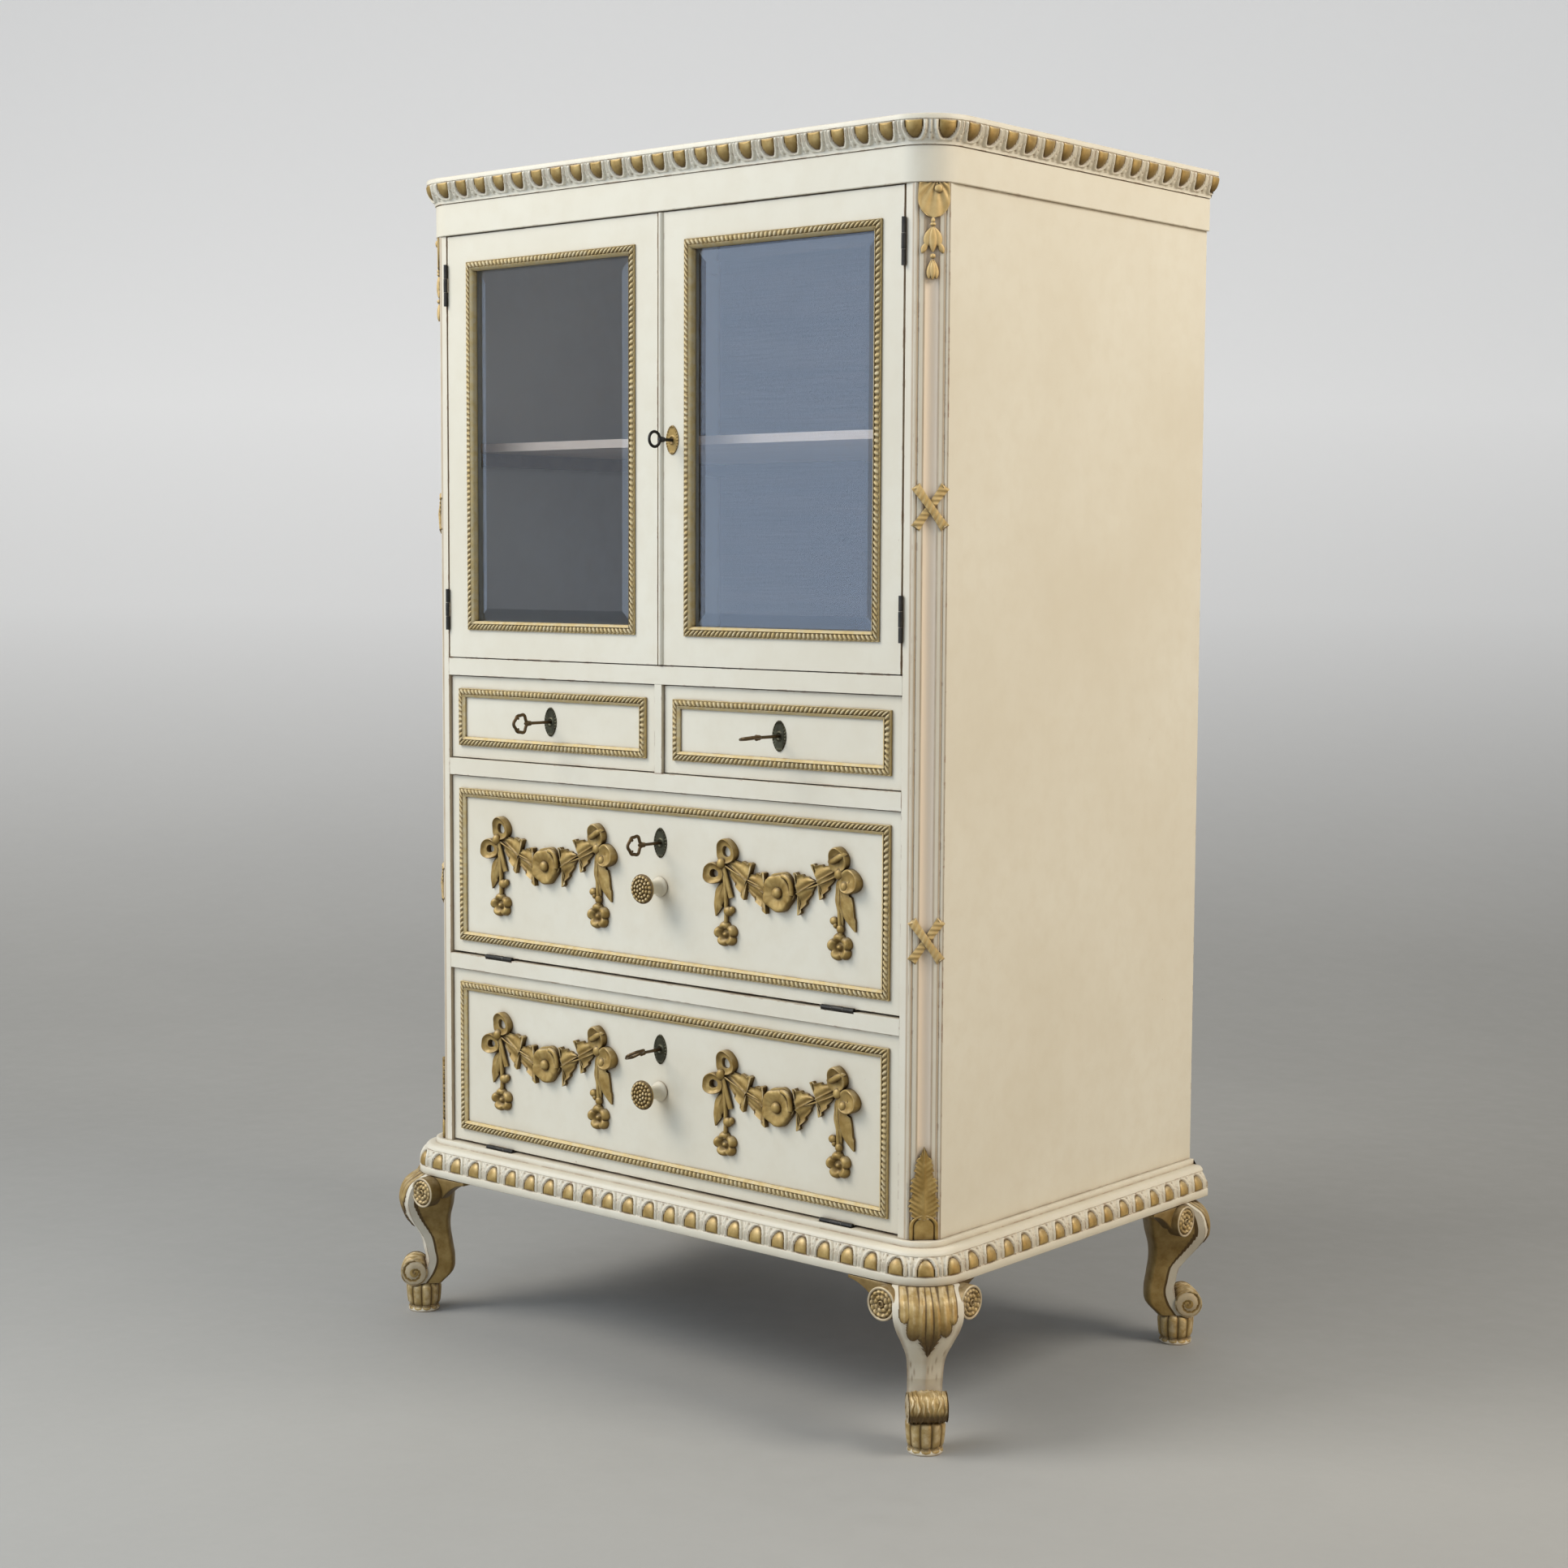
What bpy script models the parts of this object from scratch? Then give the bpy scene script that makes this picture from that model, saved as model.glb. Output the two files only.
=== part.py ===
"""Display cabinet on cabriole legs: two glazed doors, two small drawers and two fall-front flaps.

Metres, +Z up. The front faces -Y, the floor is z = 0, and the origin lies under the middle of the piece.
Depths in the case are measured backwards from its front plane, the face of the posts and rails.
"""

import math

import bmesh
import bpy
import numpy as np
from mathutils import Matrix, Vector

NAME = "display_cabinet"

# Clearances
FIT = 0.0003  # between fixed neighbours, and round a bolt, pin or key
RUN_GAP = 0.0015  # round a door, drawer front or flap
HINGE_GAP = 0.003  # where two hinge leaves lie between a panel and the case
MEETING_GAP = 0.002  # between the two doors

# Case
OPENING_WIDTH = 0.780  # clear width between the front posts
CASE_DEPTH = 0.5856
POST_FILLET = 0.013  # flat strip on the front of a post
POST_CANT = 0.0287  # width and depth of the canted corner of a post
POST_DEPTH = 0.052
FLUTE_WIDTH = 0.0174
FLUTE_DEPTH = 0.003
REED_WIDTH = 0.0058  # between the flute and the groove beside it
GROOVE_WIDTH = 0.0024
GROOVE_DEPTH = 0.0012
SIDE_THICKNESS = 0.018
BACK_THICKNESS = 0.008
DECK_THICKNESS = 0.015
DIVIDER_THICKNESS = 0.012
GUIDE_HEIGHT = 0.020  # drawer guides on the deck under the drawers
SHELF_RISE = 0.290  # top of the shelf above the display floor
SHELF_THICKNESS = 0.011
SHELF_SETBACK = 0.066
CLEAT_HEIGHT = 0.018
CLEAT_THICKNESS = 0.012

# Heights, from the floor up. The doors take what the others leave of the total.
TOTAL_HEIGHT = 1.550
LEG_HEIGHT = 0.198
BASE_HEIGHT = 0.0467
LOWER_OPENING = 0.242
LOWER_RAIL = 0.020
UPPER_OPENING = 0.2455
MIDDLE_RAIL = 0.0225
DRAWER_OPENING = 0.113
UPPER_RAIL = 0.023
FRIEZE_HEIGHT = 0.0417
CORNICE_HEIGHT = 0.033

# Mouldings, as offsets outwards from the sides and front of the case
FRIEZE_PROUD = 0.004
FRIEZE_THICKNESS = 0.022
FRIEZE_RADIUS = 0.050  # outer radius of the frieze's front corners
CORNICE_FOOT = 0.0055
CORNICE_OVERHANG = 0.0165
CORNICE_SWELL = 0.003  # bulge of the face that the eggs are carved on
CORNICE_LIP = 0.006  # flat edge at the top of the cornice
CORNICE_FOOT_HEIGHT = 0.004
CORNICE_WIDTH = 0.0345
TOP_BOARD_THICKNESS = 0.020
TOP_LEDGE = 0.006  # ledge of the cornice that the top board lies on
BASE_OVERHANG = 0.029
BASE_RADIUS = 0.060  # outer radius of the base's front corners
BASE_INSIDE = 0.022  # how far the base moulding reaches in under the case
BASE_TOP_STEP = 0.006
BASE_MIDDLE_STEP = 0.021
BASE_STEP_HEIGHT = 0.007
BASE_FOOT_FILLET = 0.0105
BASE_SWELL = 0.003
BASE_BOARD_THICKNESS = 0.018
CORNER_STEPS = 6

# Doors
DOOR_THICKNESS = 0.020
DOOR_STILE = 0.046
DOOR_TOP_RAIL = 0.0435
DOOR_FOOT_RAIL = 0.045
GLAZING_SHIFT = 0.007  # right door's pane towards its hinges, beside the meeting strip
PANE_GROOVE = 0.007
PANE_SETBACK = 0.0075  # door face to the groove that holds the pane
PANE_THICKNESS = 0.005
PANE_EDGE = 0.003
PANE_BEVEL = 0.021  # from the groove to the flat of the pane
DOOR_BEAD_WIDTH = 0.012
DOOR_BEAD_LAP = 0.004  # bead carried over the edge of the glass opening
DOOR_BEAD_PROUD = 0.004
ASTRAGAL_WIDTH = 0.009
ASTRAGAL_PROUD = 0.004
ASTRAGAL_ROOT = 0.005  # depth of the meeting strip's tongue in the door
DOOR_LOCK_INSET = 0.0248  # keyhole from the middle of the cabinet
DOOR_HINGE_INSET = 0.064  # door edge to the middle of a hinge

# Drawers and flaps
FRONT_THICKNESS = 0.018
FRONT_RECESS = 0.005  # behind the face of the rails
FRONT_BEAD_INSET = 0.0165
FRONT_BEAD_WIDTH = 0.0115
FRONT_BEAD_PROUD = 0.0025
BEAD_SINK = 0.001  # how deep a bead moulding is let into its front
DRAWER_BOX_DEPTH = 0.450
DRAWER_BOX_HEIGHT = 0.088
DRAWER_WALL = 0.010
DRAWER_FLOOR = 0.006
FLAP_KEY_DROP = 0.0645  # top of a flap to its keyhole
FLAP_HINGE_INSET = 0.095  # post to the middle of a hinge

# Hinges
DOOR_KNUCKLE_RADIUS = 0.0025
FLAP_KNUCKLE_RADIUS = 0.003
DOOR_HINGE_LENGTH = 0.055
FLAP_HINGE_LENGTH = 0.050
PIN_RADIUS = 0.0011
PIN_PLAY = 0.00035
LEAF_THICKNESS = 0.0009
LEAF_DEPTH = 0.016
LEAF_GAP = 0.0006  # between the two leaves of a closed hinge
HINGE_SIDES = 10

# Locks and keys
BOLT_WIDTH = 0.014
BOLT_THICKNESS = 0.0044
BOLT_SETBACK = 0.0093  # front face to the bolt
BOLT_TAIL = 0.006  # bolt carried on past the key's axis
BOLT_TRAVEL = 0.008
BOLT_SUNK = 0.0005  # bolt end below the edge when drawn in
KEY_RADIUS = 0.0022
KEY_DEPTH = 0.0085  # key tip behind the front face
KEY_BOW_WIRE = 0.0021
KEY_COLLAR_RADIUS = 0.0036
KEY_COLLAR_LENGTH = 0.005
KEY_BOW_RADIUS = 0.0124
KEY_BOW_POINTS = 12
DOOR_BOW_RADIUS = 0.0095
DRAWER_KEY_REACH = 0.070
FLAP_KEY_REACH = 0.063
DOOR_KEY_REACH = 0.044
DRAWER_KEY_TURNS = (0, 80)  # degrees at which each key stands, left then right
FLAP_KEY_TURNS = (60, 0)  # lower then upper

# Knobs
KNOB_FACE_RADIUS = 0.019
KNOB_LENGTH = 0.038
KNOB_HEAD = 0.011
KNOB_NECK_RADIUS = 0.0085
KNOB_SEAT_RADIUS = 0.0125
KNOB_RIM = 0.005  # face to the widest part of the head
KNOB_CROWN_RADIUS = 0.0145
KNOB_HEAD_BACK_RADIUS = 0.012
KNOB_SEAT_HEIGHT = 0.003
KNOB_STEPS = 16

# Garlands, from the middle of the rose
GARLAND_INSET = 0.1874  # post to the middle of a rose
GARLAND_DROP = 0.110  # top of the flap to a rose
ROSE_RADIUS = 0.024
ROSE_HEIGHT = 0.014
ROSE_EYE_RADIUS = 0.0055
ROSE_DISH_HEIGHT = 0.008
ROSE_PETAL_RADIUS = 0.018
ROSE_PETAL_HEIGHT = 0.012
ROSE_RIM_HEIGHT = 0.006
ROSE_STEPS = 12
BOW_SPREAD = 0.094
BOW_RISE = 0.029
LOOP_RADIUS = 0.0105
LOOP_WIRE = 0.0055
LOOP_REACH = 0.017  # middle of the knot to the middle of a loop
LOOP_TURNS = ((58, 230), (93, -24))  # degrees of the two loops of the left and of the right bow
LOOP_POINTS = 9
LOOP_STAGGER = 0.0011  # one loop of a bow in front of the other
SWAG_RADIUS = 0.0135
SWAG_SAG = 0.006
SWAG_SWELL = (1.3, 1.15, 0.6, 1.25, 1.0, 0.7, 0.45)  # two broad leaves on each side of the rose
DROP_LENGTH = 0.088
DROP_RADIUS = 0.0075
DROP_SWELL = (0.9, 0.75, 1.25, 1.3, 0.9, 0.75, 0.5)  # leaves and buds down a drop
RELIEF_LIFT = 0.0026  # middle of the carved stems in front of the flap
FLOWER_RADIUS = 0.0185
FLOWER_HEIGHT = 0.0093

# Legs, in a frame with u outwards along the diagonal and z from the floor
LEG_INSET_FRONT = 0.0205  # corner of the base to the middle of a foot, along each side
LEG_INSET_REAR = 0.0290
FOOT_REACH = 0.042  # u of the middle of the foot
FOOT_RADIUS = 0.0195
PAD_RADIUS = 0.0225
PAD_HEIGHT = 0.042
PAD_NECK_RADIUS = 0.016
PAD_SHOULDER = 0.033
PAD_WAIST = 0.0165
PAD_WAIST_RADIUS = 0.0215
SCROLL_REACH = 0.054
SCROLL_HEIGHT = 0.0525
SCROLL_RADIUS = 0.0193
SCROLL_WIDTH = 0.051
EYE_RADIUS = 0.009
EYE_PROUD = 0.002
EAR_SPREAD = 0.055
EAR_REACH = 0.0425
EAR_RADIUS = 0.0205
EAR_THICKNESS = 0.018
WING_SETBACK = 0.002  # face of a wing behind the edge of the base
WING_THICKNESS = 0.016
WING_LENGTH = 0.070  # from the middle of the ear to the far end of the wing
WING_ROOT = 0.020  # from the middle of the ear to the leg's flank
WING_LAP = 0.015  # from the middle of the ear into the leg
WING_HEIGHT = 0.029
WING_TIP = 0.004
WING_STEPS = 5
REAR_KNEE = 0.010  # further reach of the rear legs' knees
KNEE_HEIGHT = 0.048  # below the base, where that further reach starts to shrink
KNEE_END = 0.092  # below the base, where nothing is left of it
LEG_CROWN = 0.14  # bulge of the front face, as a share of the width
LEG_BACK = 0.8  # width of the back, as a share of the width
LEG_BACK_FLAT = 0.6  # flat part of the back
LEG_BACK_ROUND = 0.006
LEG_FRONT_POINTS = 7
LEG_ROUND_SIDES = 14  # scroll, pad and ears
LEG_STEPS = 2
# height below the base, outer u, inner u and width of the leg at each station
LEG_STATIONS = (
    (0.000, 0.050, -0.008, 0.080),
    (0.014, 0.069, -0.005, 0.084),
    (0.032, 0.076, -0.002, 0.084),
    (0.048, 0.0745, 0.000, 0.076),
    (0.066, 0.067, 0.004, 0.060),
    (0.084, 0.0555, 0.0043, 0.0475),
    (0.104, 0.0448, 0.0013, 0.0433),
    (0.124, 0.0393, -0.0015, 0.042),
    (0.142, 0.046, 0.0005, 0.041),
    (0.158, 0.054, 0.015, 0.040),
)

# Levels and planes that follow from the sizes above
CASE_WIDTH = OPENING_WIDTH + 2 * (POST_FILLET + POST_CANT)
INNER_HALF = CASE_WIDTH / 2 - SIDE_THICKNESS
OPENING_HALF = OPENING_WIDTH / 2
BASE_BOTTOM = LEG_HEIGHT + FIT
BASE_TOP = BASE_BOTTOM + BASE_HEIGHT
LOWER_RAIL_BOTTOM = BASE_TOP + LOWER_OPENING
LOWER_RAIL_TOP = LOWER_RAIL_BOTTOM + LOWER_RAIL
MIDDLE_RAIL_BOTTOM = LOWER_RAIL_TOP + UPPER_OPENING
MIDDLE_RAIL_TOP = MIDDLE_RAIL_BOTTOM + MIDDLE_RAIL
UPPER_RAIL_BOTTOM = MIDDLE_RAIL_TOP + DRAWER_OPENING
UPPER_RAIL_TOP = UPPER_RAIL_BOTTOM + UPPER_RAIL
CORNICE_TOP = TOTAL_HEIGHT
CORNICE_BOTTOM = CORNICE_TOP - CORNICE_HEIGHT
FRIEZE_TOP = CORNICE_BOTTOM - FIT
FRIEZE_BOTTOM = FRIEZE_TOP - FRIEZE_HEIGHT
SHELF_TOP = UPPER_RAIL_TOP + SHELF_RISE
DOOR_BOTTOM = UPPER_RAIL_TOP + RUN_GAP
DOOR_TOP = FRIEZE_BOTTOM - RUN_GAP
DOOR_MIDDLE = (DOOR_BOTTOM + DOOR_TOP) / 2
DRAWER_BOTTOM = MIDDLE_RAIL_TOP + RUN_GAP
DRAWER_TOP = UPPER_RAIL_BOTTOM - RUN_GAP
DRAWER_MIDDLE = (DRAWER_BOTTOM + DRAWER_TOP) / 2
DRAWER_INNER = DIVIDER_THICKNESS / 2 + RUN_GAP
DRAWER_OUTER = OPENING_HALF - RUN_GAP
DECK_FRONT = POST_DEPTH + FIT
DECK_BACK = CASE_DEPTH - BACK_THICKNESS - FIT
CASE_CORNER_RADIUS = FRIEZE_RADIUS - FRIEZE_PROUD
BASE_CORNER_RADIUS = BASE_RADIUS - BASE_OVERHANG
BORE_RADIUS = PIN_RADIUS + PIN_PLAY
FLAPS = (
    ("lower", BASE_TOP + HINGE_GAP, LOWER_RAIL_BOTTOM - RUN_GAP),
    ("upper", LOWER_RAIL_TOP + HINGE_GAP, MIDDLE_RAIL_BOTTOM - RUN_GAP),
)
SIDES = (("left", -1), ("right", 1))


def leg_sections(knee):
    """Rings of points down a leg: a crowned front, flat flanks and a narrower back, smooth from one
    station to the next. The knee reaches this much further out."""
    stations = np.array(LEG_STATIONS)
    place = np.arange(0, len(stations) - 1 + 1 / (2 * LEG_STEPS), 1 / LEG_STEPS)
    rows = np.minimum(place.astype(int), len(stations) - 2)
    part = (place - rows)[:, None]
    padded = np.vstack([2 * stations[0] - stations[1], stations, 2 * stations[-1] - stations[-2]])
    before, start, end, after = (padded[rows + k] for k in range(4))
    smooth = 0.5 * (
        2 * start
        + (end - before) * part
        + (2 * before - 5 * start + 4 * end - after) * part**2
        + (3 * start - before - 3 * end + after) * part**3
    )
    drop, outer, inner, width = smooth.T[:, :, None]
    outer = outer + knee * np.clip((KNEE_END - drop) / (KNEE_END - KNEE_HEIGHT), 0, 1)
    front = np.linspace(-1, 1, LEG_FRONT_POINTS)
    back = LEG_BACK * np.array([1, LEG_BACK_FLAT, -LEG_BACK_FLAT, -1])
    front_u = outer - LEG_CROWN * width * front**2
    back_u = inner + LEG_BACK_ROUND * np.array([1, 0, 0, 1])
    u = np.hstack([front_u, back_u])
    w = width / 2 * np.concatenate([front, back])
    return np.stack([u, w, np.broadcast_to(LEG_HEIGHT - drop, u.shape)], axis=2)


def leg_reach(knee):
    """How far a leg standing on the diagonal reaches past its foot's middle, along one side of the case."""
    points = leg_sections(knee)
    furthest = (points[:, :, 0] + np.abs(points[:, :, 1])).max()
    return (max(furthest, EAR_REACH + EAR_SPREAD) - FOOT_REACH) / math.sqrt(2)


FRONT_REACH = max(DRAWER_KEY_REACH - FRONT_RECESS, DOOR_KEY_REACH)
REAR_REACH = CASE_DEPTH - LEG_INSET_REAR + leg_reach(REAR_KNEE)
FRONT_Y = -(REAR_REACH - FRONT_REACH) / 2


def at_depth(depth):
    """Y of a plane this far behind the front of the case."""
    return FRONT_Y + depth


def clear_scene():
    """Empties the scene, so that only the cabinet is left in it."""
    for obj in list(bpy.data.objects):
        bpy.data.objects.remove(obj, do_unlink=True)


def new_collection(name):
    """A collection linked to the scene."""
    collection = bpy.data.collections.new(name)
    bpy.context.scene.collection.children.link(collection)
    return collection


def new_finish(name, colour, roughness, metallic=0.0, transmission=0.0):
    """A Principled material."""
    finish = bpy.data.materials.new(name)
    finish.use_nodes = True
    shader = finish.node_tree.nodes["Principled BSDF"]
    shader.inputs["Base Color"].default_value = (*colour, 1.0)
    shader.inputs["Roughness"].default_value = roughness
    shader.inputs["Metallic"].default_value = metallic
    shader.inputs["Transmission Weight"].default_value = transmission
    return finish


clear_scene()
PARTS = new_collection(NAME)
CUTTERS = new_collection(NAME + "_cutters")
CREAM = new_finish("cream_paint", (0.76, 0.72, 0.60), 0.45)
GILT = new_finish("worn_gilding", (0.45, 0.31, 0.10), 0.38, 0.8)
STAINED = new_finish("dark_stained_wood", (0.12, 0.08, 0.05), 0.6)
PALE = new_finish("pale_wood", (0.62, 0.47, 0.31), 0.55)
GLASS = new_finish("bevelled_glass", (0.85, 0.88, 0.92), 0.03, 0.0, 1.0)
BRONZE = new_finish("dark_bronze", (0.10, 0.07, 0.04), 0.4, 0.9)
IRON = new_finish("black_iron", (0.03, 0.03, 0.03), 0.45, 0.9)


def mesh_of(shape):
    """The mesh of a finished bmesh, with round sides smooth and edges over 35 degrees sharp."""
    mesh = bpy.data.meshes.new("shape")
    shape.to_mesh(mesh)
    shape.free()
    mesh.shade_smooth()
    mesh.set_sharp_from_angle(angle=math.radians(35))
    return mesh


def block(low, high):
    """Box between two corners."""
    low, high = Vector(low), Vector(high)
    shape = bmesh.new()
    size = high - low
    bmesh.ops.create_cube(
        shape, size=1.0, matrix=Matrix.Translation((low + high) / 2) @ Matrix.Diagonal((*size, 1.0))
    )
    return mesh_of(shape)


def rod(start, end, radius, sides=HINGE_SIDES):
    """Closed cylinder between two points."""
    start, end = Vector(start), Vector(end)
    way = end - start
    turn = Vector((0, 0, 1)).rotation_difference(way).to_matrix().to_4x4()
    shape = bmesh.new()
    bmesh.ops.create_cone(
        shape,
        cap_ends=True,
        segments=sides,
        radius1=radius,
        radius2=radius,
        depth=way.length,
        matrix=Matrix.Translation((start + end) / 2) @ turn,
    )
    return mesh_of(shape)


def ball(middle, radii, rings=6, segments=8):
    """Ellipsoid."""
    shape = bmesh.new()
    place = Matrix.Translation(middle) @ Matrix.Diagonal((*radii, 1.0))
    bmesh.ops.create_uvsphere(shape, u_segments=segments, v_segments=rings, radius=1.0, matrix=place)
    return mesh_of(shape)


def loft(sections):
    """Closed rings of points joined in order, with both ends capped."""
    shape = bmesh.new()
    rings = [[shape.verts.new(point) for point in section] for section in sections]
    count = len(rings[0])
    for ring, following in zip(rings, rings[1:]):
        for a in range(count):
            b = (a + 1) % count
            shape.faces.new((ring[a], ring[b], following[b], following[a]))
    shape.faces.new(rings[0])
    shape.faces.new(rings[-1])
    bmesh.ops.recalc_face_normals(shape, faces=shape.faces)
    return mesh_of(shape)


def baked(data, modify=None):
    """Mesh of a curve, or of a mesh with the modifiers that modify gives it, with its seams welded."""
    obj = bpy.data.objects.new("working", data)
    bpy.context.scene.collection.objects.link(obj)
    if modify:
        modify(obj)
    bpy.context.view_layer.update()
    graph = bpy.context.evaluated_depsgraph_get()
    mesh = bpy.data.meshes.new_from_object(obj.evaluated_get(graph))
    bpy.data.objects.remove(obj, do_unlink=True)
    shape = bmesh.new()
    shape.from_mesh(mesh)
    bmesh.ops.remove_doubles(shape, verts=shape.verts, dist=1e-6)
    return mesh_of(shape)


def extruded(loops, low, high, upright=False):
    """Flat outlines given thickness: along Z, or along Y for outlines drawn upright in X and Z."""
    curve = bpy.data.curves.new("outline", "CURVE")
    curve.dimensions = "2D"
    curve.fill_mode = "BOTH"
    curve.extrude = (high - low) / 2
    for loop in loops:
        spline = curve.splines.new("POLY")
        spline.points.add(len(loop) - 1)
        spline.points.foreach_set("co", [c for x, y in loop for c in (x, y, 0.0, 1.0)])
        spline.use_cyclic_u = True
    mesh = baked(curve)
    middle = (low + high) / 2
    if upright:
        mesh.transform(Matrix.Translation((0, middle, 0)) @ Matrix.Rotation(math.pi / 2, 4, "X"))
    else:
        mesh.transform(Matrix.Translation((0, 0, middle)))
    return mesh


def tube(points, radius, swell=None, closed=False, resolution=1):
    """Round bar along points, with the radius times swell at each point."""
    curve = bpy.data.curves.new("bar", "CURVE")
    curve.dimensions = "3D"
    curve.bevel_depth = radius
    curve.bevel_resolution = resolution
    curve.use_fill_caps = not closed
    spline = curve.splines.new("POLY")
    spline.points.add(len(points) - 1)
    spline.points.foreach_set("co", [c for point in points for c in (*point, 1.0)])
    if swell is not None:
        spline.points.foreach_set("radius", swell)
    spline.use_cyclic_u = closed
    return baked(curve)


def turned(profile, steps):
    """Profile of (radius, height) pairs, top to bottom, turned round Z."""
    mesh = bpy.data.meshes.new("profile")
    points = [(radius, 0.0, height) for radius, height in profile]
    mesh.from_pydata(points, [(k, k + 1) for k in range(len(points) - 1)], [])

    def spin(obj):
        screw = obj.modifiers.new("turn", "SCREW")
        screw.steps = steps
        screw.render_steps = steps
        screw.use_merge_vertices = True
        screw.merge_threshold = 1e-5

    return baked(mesh, spin)


def helper(mesh, name):
    """Object that only shapes other pieces."""
    obj = bpy.data.objects.new(name, mesh)
    CUTTERS.objects.link(obj)
    obj.hide_render = True
    obj.display_type = "WIRE"
    return obj


def combine(obj, tool, operation):
    """Adds an exact Boolean of the tool to the object."""
    change = obj.modifiers.new(tool.name, "BOOLEAN")
    change.object = tool
    change.operation = operation
    change.solver = "EXACT"


def cut(obj, mesh, name):
    """Takes a shape out of a piece."""
    combine(obj, helper(mesh, name), "DIFFERENCE")


def add(obj, mesh, name):
    """Makes a shape part of a piece."""
    combine(obj, helper(mesh, name), "UNION")


def union(meshes):
    """One mesh of shapes that overlap each other."""
    tools = [bpy.data.objects.new("tool", mesh) for mesh in meshes[1:]]

    def join(obj):
        for tool in tools:
            bpy.context.scene.collection.objects.link(tool)
            combine(obj, tool, "UNION")

    mesh = baked(meshes[0], join)
    for tool in tools:
        bpy.data.objects.remove(tool, do_unlink=True)
    return mesh


def without(mesh, cutter):
    """Mesh with a shape taken out of it."""
    tool = bpy.data.objects.new("tool", cutter)
    bpy.context.scene.collection.objects.link(tool)
    result = baked(mesh, lambda obj: combine(obj, tool, "DIFFERENCE"))
    bpy.data.objects.remove(tool, do_unlink=True)
    return result


def axis_empty(name, point):
    """Empty on the axis of a moving assembly, which its pieces hang from."""
    empty = bpy.data.objects.new(name, None)
    empty.location = point
    empty.empty_display_size = 0.02
    PARTS.objects.link(empty)
    return empty


def piece(name, mesh, finish, parent=None):
    """Named piece of the cabinet. Its mesh comes in the cabinet's frame and goes into its parent's."""
    obj = bpy.data.objects.new(name, mesh)
    mesh.materials.clear()
    mesh.materials.append(finish)
    PARTS.objects.link(obj)
    if parent:
        mesh.transform(Matrix.Translation(-parent.location))
        obj.parent = parent
    return obj


def rectangle(left, bottom, right, top):
    """Corners of a rectangle, anticlockwise."""
    return [(left, bottom), (right, bottom), (right, top), (left, top)]


def inset(loop_box, by):
    """Rectangle moved in on all sides."""
    left, bottom, right, top = loop_box
    return rectangle(left + by, bottom + by, right - by, top - by)


def case_path(offset, corner):
    """Plan points and outward normals along the left side, the front and the right side of the case.

    The front corners are arcs about the same middles for every offset, and the ends lie in the back plane.
    """
    half = CASE_WIDTH / 2
    turn = np.linspace(0, math.pi / 2, CORNER_STEPS + 1)
    left = np.stack([-np.cos(turn), -np.sin(turn)], axis=1)
    right = np.stack([np.sin(turn), -np.cos(turn)], axis=1)
    normals = np.vstack([[(-1.0, 0.0)], left, right, [(1.0, 0.0)]])
    y = at_depth(corner)
    back = at_depth(CASE_DEPTH)
    middles = np.vstack(
        [
            [(corner - half, back)],
            np.tile((corner - half, y), (len(turn), 1)),
            np.tile((half - corner, y), (len(turn), 1)),
            [(half - corner, back)],
        ]
    )
    return middles + normals * (corner + offset), normals


def moulding(profile, corner):
    """Profile of (offset, height) pairs carried round three sides of the case."""
    path, normals = case_path(0.0, corner)
    sections = [
        [(x + nx * offset, y + ny * offset, height) for offset, height in profile]
        for (x, y), (nx, ny) in zip(path, normals)
    ]
    return loft(sections)


def board_in_moulding(offset, corner, low, high):
    """Board that fills the plan inside a moulding."""
    path, _ = case_path(offset, corner)
    return extruded([[tuple(point) for point in path]], low, high)


def swelling(start, end, bulge, steps=5):
    """Points from start to end along a shallow curve that bulges to the left of its direction."""
    (x0, y0), (x1, y1) = start, end
    length = math.hypot(x1 - x0, y1 - y0)
    points = []
    for t in np.linspace(0, 1, steps + 1):
        rise = 4 * bulge * t * (1 - t) / length
        points.append((x0 + (x1 - x0) * t - (y1 - y0) * rise, y0 + (y1 - y0) * t + (x1 - x0) * rise))
    return points


def build_base():
    """Base moulding with the board that closes it. The eggs are carved on its swelling face."""
    step = BASE_TOP - BASE_STEP_HEIGHT
    band_top = step - BASE_STEP_HEIGHT
    fillet_top = BASE_BOTTOM + BASE_FOOT_FILLET
    profile = [(-BASE_INSIDE, BASE_TOP), (BASE_TOP_STEP, BASE_TOP), (BASE_TOP_STEP, step)]
    profile.append((BASE_MIDDLE_STEP - BASE_STEP_HEIGHT, step))
    profile += swelling((BASE_MIDDLE_STEP, band_top), (BASE_OVERHANG, fillet_top), BASE_SWELL)
    profile += [(BASE_OVERHANG, BASE_BOTTOM), (-BASE_INSIDE, BASE_BOTTOM)]
    base = piece("base_moulding", moulding(profile, BASE_CORNER_RADIUS), CREAM)
    cut_hinge_seats(base, BASE_TOP)
    board = board_in_moulding(
        -BASE_INSIDE - FIT, BASE_CORNER_RADIUS, BASE_TOP - BASE_BOARD_THICKNESS, BASE_TOP
    )
    piece("base_board", board, STAINED)


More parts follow.
